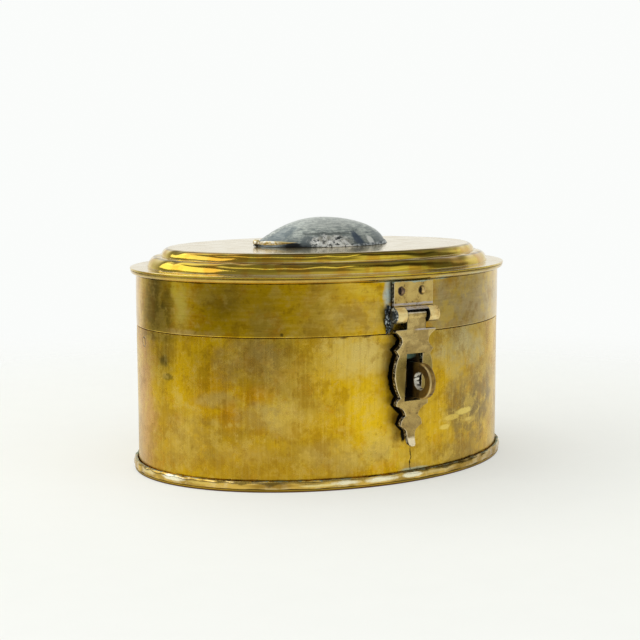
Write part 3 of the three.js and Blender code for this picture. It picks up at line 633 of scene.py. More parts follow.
rear_y = REAR + PIN_OUT
rear_leaves = (
    (-1, "case", "body", ((-REAR_HALF, -REAR_OUTER), (REAR_OUTER, REAR_HALF))),
    (1, "lid", "lid", ((-REAR_MIDDLE, REAR_MIDDLE),)),
)
for way, body, part, spans in rear_leaves:
    node = f"rear_{part}_leaf"
    leaf = upright_bar(
        np.linspace(*np.sort([SEAM + way * LEAF_START, SEAM + way * LEAF_END]), 9), -REAR_HALF, REAR_HALF,
        REAR + LEAF_NEAR, REAR + LEAF_FAR, 0.3 * MM, 0.3 * MM, 0.3 * MM,
    )
    wing_heights = np.linspace(*np.sort([SEAM, SEAM + way * WING_END]), 5)
    wings = [
        upright_bar(wing_heights, start, end, REAR + LEAF_NEAR, REAR + LEAF_FAR, 0.1 * MM, 0, 0)
        for start, end in spans
    ]
    rear_leaf = metal(node + "_plate", leaf, *wings, ring=False)
    rear_knuckles = metal(node + "_knuckles", *[knuckle(start, end, rear_y, SEAM) for start, end in spans])
    for piece in (rear_leaf, rear_knuckles):
        dress_plain(piece, rgb(186, 154, 78), rgb(150, 122, 62), rgb(60, 48, 24), 0.32)
        stands_for(piece, node, body)
    for hand, sign in (("left", -1), ("right", 1)):
        shape = rivet(sign * REAR_RIVET_SIDE, SEAM + way * REAR_RIVET_OFF, 1)
        rear_rivet = metal(f"{node}_rivet_{hand}", shape, ring=False)
        dress_plain(rear_rivet, rgb(176, 144, 70), rgb(140, 112, 56), rgb(56, 44, 22), 0.3)
        stands_for(rear_rivet, f"rear_{part}_rivet_{hand}", body)
rear_pin = metal("rear_pin", hinge_pin(REAR_HALF, rear_y, SEAM), ring=False)
dress_plain(rear_pin, rgb(150, 122, 60), rgb(110, 88, 42), rgb(44, 34, 18), 0.34)
stands_for(rear_pin, "rear_hinge_pin", "case")

# Lid band: an oval band like the wall, standing on the same line, with its upper edge rolled out as a lip.
# The lid's top is soldered on the lip. The band was rubbed round its length and shines more than the wall.
BAND_LOW, LIP_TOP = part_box("lid_band")[0].z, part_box("lid_band")[1].z
LIP_START, LIP_REACH = 88 * MM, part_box("lid_band")[1].x - HALF_LENGTH
band_heights = np.linspace(BAND_LOW + 0.5 * MM, LIP_START, 24)
band_section = np.concatenate([
    rounded((-SHEET, BAND_LOW), (0, 0.2), (0.2, 0), 3),
    rounded((0, BAND_LOW), (-0.2, 0), (0, 0.25), 4),
    np.stack([band_heights * 0, band_heights], -1),
    bend(
        (0.15 * MM, LIP_START), (LIP_REACH - 0.3 * MM, LIP_START + 0.1 * MM),
        (LIP_REACH, LIP_TOP - 0.5 * MM), 12,
    ),
    rounded((LIP_REACH, LIP_TOP), (0, -0.2), (-0.2, 0), 4),
    bend((1.4 * MM, LIP_TOP), (-0.7 * MM, LIP_TOP - 0.2 * MM), (-SHEET, LIP_START), 10),
    np.stack([np.full(5, -SHEET), np.linspace(LIP_START - 2 * MM, BAND_LOW + 2 * MM, 5)], -1),
])
band_out, band_up = band_section.T
band_dents = ripple(turns, band_up[None, :], 3, 14, 120, 0.05 * MM, 21)
band_dents = band_dents * np.clip((LIP_START - band_up) / (5 * MM), 0, 1)
band_dents = band_dents * np.clip((band_up - BAND_LOW) / (5 * MM), 0, 1)
lid_band = metal("lid_band_sheet", round_oval(turns, band_out + band_dents, band_up), chart=oval_chart)
material, shader, place = finish("rubbed_brass_lid", Metallic=1.0)
chart = wall_chart(place)
lid_marks = [
    (-140, 77, 8, 20, 0.7, rgb(226, 190, 126)), (-121, 76, 7, 14, 0.6, rgb(104, 94, 36)),
    (-110, 77, 3.2, 10, 0.6, rgb(112, 94, 24)), (-106, 84.6, 1.8, 3.5, 0.9, rgb(232, 204, 70)),
    (-102, 77.6, 3, 10.4, 0.7, rgb(222, 202, 90)), (-91, 82, 5, 3, 0.7, rgb(222, 186, 70)),
    (-82, 77, 8, 4, 0.3, rgb(110, 92, 30)), (-78, 81.5, 16, 4.5, 0.12, UMBER),
    (-99, 66.2, 12, 1.4, 0.7, PALE), (-55, 77, 5.2, 8.4, 0.75, GOLD),
    (-39, 77, 11, 9, 0.55, TAN), (-20.8, 84.1, 5.6, 2.3, 0.8, rgb(230, 198, 70)),
    (-24, 72.8, 11.3, 5.6, 0.65, PALE_TAN), (46, 75, 30, 15, 0.85, rgb(196, 176, 126)),
    (-57.8, 66.6, 0.7, 0.7, 0.9, SOOT_AND_SHADE), (-10.6, 82.5, 1.9, 6.5, 0.95, rgb(206, 224, 216)),
    (-12.5, 88.4, 7, 0.8, 0.9, VERDIGRIS), (19, 88.2, 7, 0.7, 0.9, VERDIGRIS),
    (40, 88.6, 5.5, 0.6, 0.8, VERDIGRIS),
]
# The grey mark is crust beside the barrel's end; the black one is painted shade behind the barrel.
lid_crust_and_shade = [(-9.5, 71, 2, 4.6, 0.9, rgb(92, 98, 96)), (2.5, 72, 8, 5, 0.95, SOOT_AND_SHADE)]
colour, fine, mottle = rubbed_brass(place, chart, (0.08, 0.08, 1), lid_marks)
colour = marked(colour, chart, lid_crust_and_shade, 0.45, 2.4)
height_mm = axis_mm(place, 2)
colour = tint(between(height_mm + (mottle - 0.5) * 0.6, 89.75, 89.95) * 0.8, colour, rgb(84, 62, 24))
colour = tint(between(height_mm, 88.0, 88.5) * 0.5, colour, rgb(188, 166, 104))
# A dark band just under the lip's flare: painted shade.
shade_under_lip = between(height_mm + (mottle - 0.5) * 0.9, 87.5, 87.8) * between(height_mm, 88.25, 88.05)
colour = tint(shade_under_lip * 0.9, colour, rgb(44, 34, 14))
colour = unpolished_inside(place, colour, mottle)
beside = (axis_mm(chart, 0) + 2) / 15
dull = between(beside * beside, 1.4, 0.6)
roughness = 0.1 + 0.16 * (mottle - 0.5) + 0.08 * fine + 0.25 * dull
lay(lid_band, material, shader, colour, roughness, fine, 0.02 * MM)
stands_for(lid_band, "lid_band", "lid")

# Lid top: one plate of sheet brass, pressed over a former into a flange, two rolled steps and a flat top.
# It is soldered on the lip all round, and is the brightest polished part of the box.
FLANGE_TOP, FLANGE_REACH = 91 * MM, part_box("lid_top")[1].x - HALF_LENGTH
TOP_SHEET, UPPER_CREST = 0.85 * MM, 15.4
FLANGE_UNDER = FLANGE_TOP - TOP_SHEET


def rolled_step(foot, crest, low, high, steps=20):
    """A step's section, in insets from the wall line and heights in millimetres: a quarter of an ellipse that
    rises straight up from its foot and rolls over level at its crest."""
    angle = np.linspace(0, np.pi / 2, steps)
    return np.stack([(crest - foot) * np.cos(angle) - crest, low + (high - low) * np.sin(angle)], -1) * MM


step_section = np.concatenate([
    rolled_step(foot=5.2, crest=10.4, low=91, high=95.8),
    rolled_step(foot=11.4, crest=UPPER_CREST, low=95.8, high=99.5),
])
top_section = np.concatenate([
    (step_section - (0.6 * MM, TOP_SHEET))[::-1],
    rounded((FLANGE_REACH, FLANGE_UNDER), (-0.2, 0), (0, 0.25), 4),
    rounded((FLANGE_REACH, FLANGE_TOP), (0, -0.35), (-0.35, 0), 5),
    np.stack([np.linspace(1.6, -4.6, 7) * MM, np.full(7, FLANGE_TOP)], -1),
    step_section,
])
top_out, top_up = top_section.T
top_dents = ripple(turns, top_out[None, :] * 3, 3, 12, 120, 0.06 * MM, 31) * (top_out < 0.5 * MM)
top_dents = top_dents + ripple(turns, top_out[None, :], 12, 38, 700, 0.09 * MM, 32) * (top_out < -5 * MM)
top_dents = top_dents * np.clip((top_out + UPPER_CREST * MM) / (2.5 * MM), 0, 1)
top_edge = round_oval(turns, top_out, top_up + top_dents)
lid_top = metal("lid_top_sheet", filled_oval(top_edge, 0.97, 18), ring=False, crease=60)
material, shader, place = finish("polished_brass_top", Metallic=1.0)
height_mm = axis_mm(place, 2)
clouds, mottle, speckle = cloud(place, 30, 3), cloud(place, 120, 4), cloud(place, 800, 4, 0.7)
colour = tint(between(clouds, 0.4, 0.62), rgb(224, 194, 66), rgb(208, 178, 74))
colour = tint(between(mottle, 0.48, 0.62) * 0.6, colour, rgb(206, 150, 40))
# The level faces are paler cream and a little less metallic: a painted reflection. The dark bands at the
# crests are painted dark reflections.
level_sheen = between(height_mm, 99.3, 99.48) + band(height_mm, 95.6, 95.78, 95.9, 96.1)
level_sheen = level_sheen + band(height_mm, 90.75, 90.95, 91.1, 91.4)
crest = band(height_mm, 98.7, 99.1, 99.3, 99.45) + band(height_mm, 95.0, 95.3, 95.55, 95.7)
colour = tint(crest * 0.6, colour, rgb(84, 60, 22))
colour = tint(level_sheen, colour, tint(between(mottle, 0.4, 0.65), rgb(228, 208, 156), rgb(216, 192, 132)))
roughness = 0.08 + 0.14 * (mottle - 0.4) + 0.04 * speckle + 0.03 * level_sheen
lay(lid_top, material, shader, colour, roughness, speckle * 0.2 + mottle, 0.04 * MM, bare=1 - 0.1 * level_sheen)
stands_for(lid_top, "lid_top", "lid")

# Boss: a dome raised from thin brass and tinned grey, blunt at one end and drawn out at the other.
# It stands on the flat top, held by solder round its edge but for the front left, where it has lifted.
boss_low, boss_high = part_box("lid_boss")
BOSS_LENGTH, BOSS_WIDTH = (boss_high.x - boss_low.x) / 2, (boss_high.y - boss_low.y) / 2
BOSS_SHIFT, BOSS_FOOT = (boss_high.x + boss_low.x) / 2, boss_low.z
BOSS_HEIGHT, BOSS_SHEET = boss_high.z - boss_low.z, 1.1 * MM
boss_turns = np.linspace(0, 2 * np.pi, 360, endpoint=False)[:, None]


def boss_dome(share, inset, drop):
    """Points of the dome at a share of its oval: height h (1 - share^2)^p, where p is 1 at the drawn-out end
    and a half at the blunt one."""
    power = 0.75 - 0.25 * np.cos(boss_turns)
    rise = BOSS_HEIGHT * np.maximum(0, 1 - share**2) ** power
    x = BOSS_SHIFT + (BOSS_LENGTH - inset) * share * np.cos(boss_turns)
    y = (BOSS_WIDTH - inset) * share * np.sin(boss_turns)
    return np.stack([x, y, BOSS_FOOT + np.maximum(0, rise - drop)], -1)


def foot_chart(place):
    """A map of the boss's skirt: degrees round its oval, -90 at the front, and height over its foot in mm."""
    long_way = (axis_mm(place, 0) - BOSS_SHIFT / MM) / (BOSS_LENGTH / MM)
    short_way = axis_mm(place, 1) / (BOSS_WIDTH / MM)
    turn = place.maths("ARCTAN2", short_way, long_way) * (180 / np.pi)
    return turn, axis_mm(place, 2) - BOSS_FOOT / MM


dome_shares = np.sin(np.linspace(0.03, np.pi / 2, 48))[None, :]
inner_dome = boss_dome(dome_shares[:, ::3], BOSS_SHEET, BOSS_SHEET)
outer_dome = boss_dome(dome_shares[:, ::-1], 0, 0)
lid_boss = metal("lid_boss_dome", np.concatenate([inner_dome, outer_dome], 1), ring=False)
material, shader, place = finish("tinned_brass", Metallic=0.5)
mottle, speckle, crinkle = cloud(place, 220, 5, 0.65), cloud(place, 1500, 5, 0.75), cloud(place, 480, 5, 0.65)
turn, foot_mm = foot_chart(place)
skirt = place.node("ShaderNodeCombineXYZ", {}, {0: turn * MM, 1: foot_mm * MM})
streak = cloud(skirt, 1500, 5, 0.72, (0.05, 1, 1))
colour = tint(between(streak * 0.7 + mottle * 0.3, 0.4, 0.6), rgb(216, 222, 212), rgb(122, 133, 132))
# The dome is lighter towards its top, a painted reflection, and darker towards its foot.
colour = tint(between(foot_mm, 5.5, 11.5) * 0.55, colour, rgb(226, 230, 222))
colour = tint(between(foot_mm + (mottle - 0.5) * 4, 5, 2.5) * 0.5, colour, rgb(98, 108, 106))
colour = tint(between(speckle, 0.55, 0.64) * 0.55, colour, rgb(66, 76, 76))
colour = tint(between(speckle, 0.45, 0.36) * 0.5, colour, rgb(232, 236, 228))
bright_tin = tint(between(mottle, 0.45, 0.6), rgb(254, 254, 248), rgb(176, 174, 162))
tin = tint(between(crinkle, 0.38, 0.5), rgb(70, 74, 74), bright_tin)
# The black mark at -132 under the lifted edge is painted shadow, and the pale one at -61 a painted highlight
# on a facet.
boss_marks = [
    (-166, 4, 22, 5, 0.6, rgb(112, 126, 132)), (-132, 0.5, 20, 1.3, 1, rgb(18, 20, 20)),
    (-124, 2.4, 8, 2.4, 0.8, rgb(96, 106, 108)), (-104, 5.6, 24, 0.7, 0.7, rgb(60, 70, 68)),
    (-101, 2.4, 20, 2.7, 1, tin), (-76, 3, 6, 3, 0.95, rgb(74, 88, 104)),
    (-61, 2.3, 4, 2, 0.95, rgb(240, 242, 236)), (-44, 3, 12, 3.5, 0.6, rgb(108, 118, 122)),
]
colour = marked(colour, skirt, boss_marks, 0.6, 4.5)
crumpled = between(off_oval(turn, foot_mm, (-104, 2.4), (24, 2.8)), 1.6, 0.7)
roughness = 0.3 + 0.2 * mottle - 0.12 * crumpled
relief = streak * 0.2 + speckle * 0.12 + mottle * 0.2 + crinkle * crumpled * 1.3
lay(lid_boss, material, shader, colour, roughness, relief, 0.7 * MM)
stands_for(lid_boss, "lid_boss", "lid")

# Lifted edge: at the front left no solder holds, and the dome's brass edge has sprung up off the lid.
# It shows as a narrow bare strip that ends in a small ball of brass at the drawn-out end.
EDGE_FROM, EDGE_SWEEP, BALL_TURN = -183, 50, np.radians(174)
BALL_RADIUS, BALL_UP = 1.7 * MM, 1.6 * MM
run = np.linspace(0, 1, 60)[None, :]
edge_turn = np.radians(EDGE_FROM + EDGE_SWEEP * run)
edge_out = (0.2 + 0.7 * np.sin(np.pi * run) + (0.25 + 0.15 * run) * np.cos(spin)) * MM
half_height = (0.5 + 0.5 * np.sin(np.pi * run**0.9)) * (1.02 - run**4)
edge_up = (1.3 + 0.9 * run + half_height * np.sin(spin)) * MM
lifted_edge = metal("boss_lifted_edge", np.stack(np.broadcast_arrays(
    BOSS_SHIFT + (BOSS_LENGTH + edge_out) * np.cos(edge_turn),
    (BOSS_WIDTH + edge_out) * np.sin(edge_turn),
    BOSS_FOOT + edge_up,
), -1)[::-1], ring=False)
polar = np.linspace(0.1, np.pi - 0.1, 24)[None, :]


def lump(middle, half, radius):
    """A closed lump: a ball's points, r sin p cos t, r sin p sin t and -r cos p, times its half sizes."""
    shape = (np.sin(polar) * np.cos(spin), np.sin(polar) * np.sin(spin), -np.cos(polar))
    return np.stack([at + size * radius * part for at, size, part in zip(middle, half, shape)], -1)


ball_x, ball_y = BOSS_SHIFT + BOSS_LENGTH * np.cos(BALL_TURN), BOSS_WIDTH * np.sin(BALL_TURN)
ball_half = (BALL_RADIUS, BALL_RADIUS, 0.85 * BALL_RADIUS)
ball = lump((ball_x, ball_y, BOSS_FOOT + BALL_UP), ball_half, 1 + ripple(spin, polar, 1, 3, 2, 0.05, 43))
edge_ball = metal("boss_edge_ball", ball, ring=False)
for piece in (lifted_edge, edge_ball):
    material, shader, place = finish(piece.name + "_brass", Metallic=0.5)
    mottle, height_mm = cloud(place, 500, 4), axis_mm(place, 2) - BOSS_FOOT / MM
    colour = tint(between(mottle, 0.42, 0.6), rgb(228, 208, 150), rgb(186, 158, 92))
    # Painted highlights lighten the tops of the strip and ball and the brass next to the ball; painted shade
    # darkens their undersides.
    colour = tint(between(height_mm + (mottle - 0.5), 2.0, 2.5) * 0.8, colour, rgb(246, 226, 160))
    glint_near_ball = between(axis_mm(place, 0) - (BOSS_SHIFT - BOSS_LENGTH) / MM, 4.5, 2.5)
    colour = tint(glint_near_ball * between(mottle, 0.55, 0.45), colour, rgb(250, 244, 226))
    colour = tint(between(height_mm + (mottle - 0.5), 1.2, 0.7), colour, rgb(52, 40, 18))
    lay(piece, material, shader, colour, 0.25 + 0.2 * mottle, mottle, 0.1 * MM)
    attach(piece, "lid")

# Boss solder: a bead run round the boss's edge with an iron, lumpy, and crinkled and bright at the front.
# It thins out at both sides of the lifted edge, where the solder never took.
BEAD_WIDE, BEAD_TALL, BEAD_GAP, BEAD_STEPS = 1.1 * MM, 1.5 * MM, 0.3 * MM, 300
bead_turns = np.linspace(-1.9, 3.4, BEAD_STEPS)
swell = (0.35 + 0.65 * np.sin(np.linspace(0, np.pi, BEAD_STEPS))) * np.clip((2.9 - bead_turns) / 0.5, 0.05, 1)
bead_section = np.array([[0.0, 0], [0, 0.5], [0, 1], [0.25, 0.85], [0.5, 0.55], [0.75, 0.25], [1, 0]])
lumps = 1 + ripple(bead_turns[:, None], np.zeros((1, 7)), 8, 70, 0, 0.12, 41)
bead_out = bead_section[:, 0] * BEAD_WIDE * swell[:, None] * np.clip(lumps, 0.6, 1.25) + BEAD_GAP
bead_rise = bead_section[:, 1] * BEAD_TALL * swell[:, None] * np.clip(lumps, 0.6, 1.2)
bead = np.stack([
    BOSS_SHIFT + (BOSS_LENGTH + bead_out) * np.cos(bead_turns)[:, None],
    (BOSS_WIDTH + bead_out) * np.sin(bead_turns)[:, None],
    BOSS_FOOT + bead_rise,
], -1)
boss_solder = metal("boss_solder_bead", bead.swapaxes(0, 1), ring=False)
material, shader, place = finish("soft_solder", Metallic=0.6)
crinkle, mottle = cloud(place, 800, 4, 0.6), cloud(place, 220, 5, 0.65)
off_front = (foot_chart(place)[0] + 95) / 13
bright = between(off_front * off_front + (mottle - 0.5) * 3, 1.3, 0.8)
colour = tint(between(crinkle, 0.42, 0.54), rgb(92, 100, 104), rgb(190, 196, 196))
colour = tint(bright, colour, tint(between(crinkle, 0.4, 0.47), rgb(90, 92, 88), rgb(250, 248, 238)))
lay(boss_solder, material, shader, colour, 0.25 + 0.25 * crinkle, crinkle, 0.6 * MM)
stands_for(boss_solder, "boss_solder", "lid")

# Hasp leaf: a brass plate riveted to the lid band, its lower edge rolled forward into a barrel.
# The barrel is notched in the middle for the hasp's tongue, which leaves a thin bar over the notch.
HASP_PIN, BARREL_HALF, NOTCH_HALF = 73.5 * MM, 11.3 * MM, 5.6 * MM
LEAF_LEFT, LEAF_RIGHT, LEAF_FOOT, BAR_UP = -9.4 * MM, 11.3 * MM, 75.9 * MM, 2.5 * MM
HASP_RIVET_SIDE, HASP_RIVET_UP = 5.4 * MM, 83.6 * MM
hasp_y = FRONT - PIN_OUT
leaf_plate = upright_bar(
    np.linspace(LEAF_FOOT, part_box("hasp_leaf")[1].z, 24), LEAF_LEFT, LEAF_RIGHT,
    FRONT - LEAF_FAR, FRONT - LEAF_NEAR, 0.3 * MM, 0.2 * MM, 0.35 * MM, 12,
)
hasp_leaf = metal("hasp_leaf_plate", leaf_plate, ring=False)
bar_edge = np.arcsin(BAR_UP / KNUCKLE)
over = np.linspace(bar_edge, np.pi - bar_edge, 16)[:, None]
bar_x = np.linspace(-NOTCH_HALF - 0.2 * MM, NOTCH_HALF + 0.2 * MM, 5)[None, :]
bar_y, bar_z = hasp_y + KNUCKLE * np.cos(over), HASP_PIN + KNUCKLE * np.sin(over)
notch_bar = metal("hasp_notch_bar", np.stack(np.broadcast_arrays(bar_x, bar_y, bar_z), -1), ring=False)
leaf_knuckles = metal(
    "hasp_leaf_knuckles",
    knuckle(-BARREL_HALF, -NOTCH_HALF, hasp_y, HASP_PIN),
    knuckle(NOTCH_HALF, BARREL_HALF, hasp_y, HASP_PIN),
)


def filed_sides(place, colour, out, face, pitted):
    """Blackens the sides of a plate that lie behind its face, given how far each is out from the wall in
    millimetres, with pale specks, and lays a bright line round the rim of the face: a painted highlight."""
    specks = between(cloud(place, 1300, 3, 0.6), 0.53, 0.6)
    side = between(out, face - 0.12, face - 0.3)
    colour = tint(side, colour, tint(specks, rgb(40, 34, 24), rgb(214, 208, 190)))
    colour = tint(between(out, face - 1.7, face - 2), colour, rgb(104, 84, 42))
    face_rim_highlight = band(out, face - 0.28, face - 0.16, face - 0.05, face - 0.005)
    return tint(face_rim_highlight * (1 - 0.6 * pitted), colour, rgb(238, 220, 176))


# Both pale colours are painted highlights: the cream knuckles, the lilac bar over the notch, the lilac fold
# line on the leaf and the lilac top edge of the hasp.
CREAM_HIGHLIGHT, LILAC_HIGHLIGHT = rgb(252, 228, 158), rgb(214, 206, 204)
for piece, clean, dull, bare_share in (
    (hasp_leaf, rgb(226, 196, 112), rgb(200, 168, 90), 0.55),
    (notch_bar, LILAC_HIGHLIGHT, rgb(196, 176, 140), 0.55),
    (leaf_knuckles, CREAM_HIGHLIGHT, rgb(240, 204, 124), 0.3),
):
    material, shader, place, colour, pitted, mottle = worn_brass(
        piece.name + "_brass", clean, dull, rgb(96, 76, 40), bare_share
    )
    across, out, height_mm = axis_mm(place, 0), out_mm(place), axis_mm(place, 2)
    if piece is hasp_leaf:
        colour = filed_sides(place, colour, out, LEAF_FAR / MM, pitted)
        ragged = height_mm + (mottle - 0.5) * 1.2
        # The lilac line at the fold is a painted highlight, and the black below it is painted shade in the
        # crease.
        colour = tint(band(ragged, 77.3, 77.7, 78.2, 78.6) * 0.8, colour, LILAC_HIGHLIGHT)
        colour = tint(between(ragged, 77.3, 76.9), colour, SOOT_AND_SHADE)
        # Dark crescents left of the rivets: purple-brown tarnish round the left rivet, painted shade round
        # the right one.
        for sign, dark in ((-1, rgb(78, 58, 52)), (1, rgb(84, 66, 34))):
            rivet_x = sign * HASP_RIVET_SIDE
            off_rivet = off_line_mm(place, (1, 0, 1), (rivet_x, 0, HASP_RIVET_UP)) + (mottle - 0.5) * 1.6
            left_of_rivet = between(across, rivet_x / MM + 1.8, rivet_x / MM - 0.6)
            colour = tint(between(off_rivet, 2.3, 1.8) * left_of_rivet, colour, dark)
        colour = tint(between(ragged + (cloud(place, 300, 3) - 0.5) * 3, 87.2, 87.6) * 0.8, colour, VERDIGRIS)
    if piece is leaf_knuckles:
        crust = tint(between(cloud(place, 900, 3), 0.5, 0.58), rgb(72, 80, 84), rgb(196, 202, 200))
        colour = tint(between(across + (mottle - 0.5) * 1.6, -10.7, -11.2), colour, crust)
        # Black on the knuckles' backs, their ends at the notch and their undersides: painted shade.
        colour = tint(between(out, 3.4, 2.2), colour, SOOT_AND_SHADE)
        colour = tint(between(abs(across), 6.1, 5.8), colour, SOOT_AND_SHADE)
        colour = tint(between(height_mm + (mottle - 0.5), 71.4, 70.4) * 0.8, colour, SOOT_AND_SHADE)
    roughness = 0.26 + 0.3 * pitted + 0.1 * (mottle - 0.5)
    lay(piece, material, shader, colour, roughness, mottle - pitted, PIT_DEPTH)
    stands_for(piece, "hasp_leaf", "lid")

# Crust: a lump of old solder and tarnish on the lid band beside the barrel's left end, left from a repair.
# It is slate grey with bright specks and has run down to the seam.
crust_middle, crust_half = (-11.0 * MM, FRONT - 0.1 * MM, 71.4 * MM), (1.3 * MM, 1.1 * MM, 4.8 * MM)
crust_shape = lump(crust_middle, crust_half, 1 + ripple(spin, polar, 2, 9, 6, 0.24, 47))
solder_crust = metal("hasp_solder_crust", crust_shape, ring=False)
material, shader, place = finish("tarnished_solder", Metallic=0.6)
specks, mottle = cloud(place, 900, 4), cloud(place, 400, 4)
colour = tint(between(mottle, 0.42, 0.6), rgb(66, 74, 78), rgb(30, 34, 34))
colour = tint(between(specks, 0.54, 0.6), colour, rgb(204, 214, 212))
lay(solder_crust, material, shader, colour, 0.35 + 0.2 * mottle, specks + mottle, 0.6 * MM)
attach(solder_crust, "lid")

# Hasp rivets and pin: two domed rivets hold the leaf to the band, and the pin runs through the barrel.
# The left rivet is brown and the right one rubbed bright, both with painted shade on the left, and the pin's
# ends are peened over.
for hand, sign, clean, dull in (
    ("left", -1, rgb(150, 122, 92), rgb(84, 64, 58)),
    ("right", 1, rgb(222, 190, 118), rgb(186, 152, 88)),
):
    rivet_x = sign * HASP_RIVET_SIDE
    leaf_rivet = metal(f"hasp_leaf_rivet_{hand}_head", rivet(rivet_x, HASP_RIVET_UP, -1), ring=False)
    material, shader, place, colour, pitted, mottle = worn_brass(
        leaf_rivet.name + "_brass", clean, dull, rgb(40, 30, 28)
    )
    # Painted shade on the left side of each head.
    shaded_side = between(axis_mm(place, 0) - rivet_x / MM + (mottle - 0.5), -0.5, -1.1)
    colour = tint(shaded_side, colour, rgb(36, 28, 20))
    lay(leaf_rivet, material, shader, colour, 0.28 + 0.3 * pitted, mottle - pitted, 2 * PIT_DEPTH)
    stands_for(leaf_rivet, f"hasp_leaf_rivet_{hand}", "lid")
hasp_pin = metal("hasp_pin_rod", hinge_pin(BARREL_HALF, hasp_y, HASP_PIN), ring=False)
dress_plain(hasp_pin, rgb(66, 70, 68), rgb(36, 38, 36), rgb(150, 156, 154), 0.4, 0.2 * MM)
stands_for(hasp_pin, "hasp_pin", "lid")

# Hasp: a thick brass plate filed to a scalloped outline, with a slot that drops over the staple.
# Its tongue is rolled round the pin, and its tip is curled outwards as a finger lift.
HASP_BACK, HASP_SHEET = 2.9 * MM, 2.4 * MM
HASP_NEAR, HASP_FAR = FRONT - HASP_BACK - HASP_SHEET, FRONT - HASP_BACK
SLOT_HALF, SLOT_LOW, SLOT_HIGH = 4.2 * MM, 36.7 * MM, 57 * MM
HASP_TIP, CURL_START, CURL = 17.2 * MM, 23 * MM, 2.2 * MM
TONGUE_HALF, TONGUE_ROLL, FILED_CORNER, FILED_END = 5.2 * MM, 2.2 * MM, 0.35 * MM, 0.4 * MM
outline = np.concatenate([
    [(10.4, 67.4), (10.9, 66.6)],
    bend((10.9, 66.6), (3.6, 62.8), (9.8, 58.6), 24),
    bend((8.2, 56.4), (12.4, 47.6), (6.3, 38), 32),
    bend((6.3, 38), (8.9, 37), (8.3, 34.8), 12),
    bend((8.3, 34.8), (4, 33.6), (3.2, 30.2), 16),
    bend((3.2, 30.2), (5.8, 28.6), (5.6, 26), 12),
    bend((5.6, 26), (2.6, 24.6), (2.3, 23), 12),
    [(1.7, 18.1), (0.9, 17.2)],
]) * MM


def hasp_bar(low, high, left=None, right=None, low_round=0, high_round=0):
    """A stretch of the plate between two heights. Each side is a fixed distance or follows the scalloped
    outline, and below the curl's start the plate leans out by the squared share of the way to the tip."""
    heights = np.linspace(low, high, int((high - low) / (0.15 * MM)) + 2)
    half = np.interp(heights, outline[::-1, 1], outline[::-1, 0])
    left = -half if left is None else left
    right = half if right is None else right
    lean = CURL * (np.maximum(0, CURL_START - heights) / (CURL_START - HASP_TIP)) ** 2
    askew = HASP_LEAN * (HASP_TOP - heights)
    return upright_bar(
        heights, left - askew, right - askew, HASP_NEAR - lean, HASP_FAR - lean,
        FILED_CORNER, low_round, high_round, 6,
    )


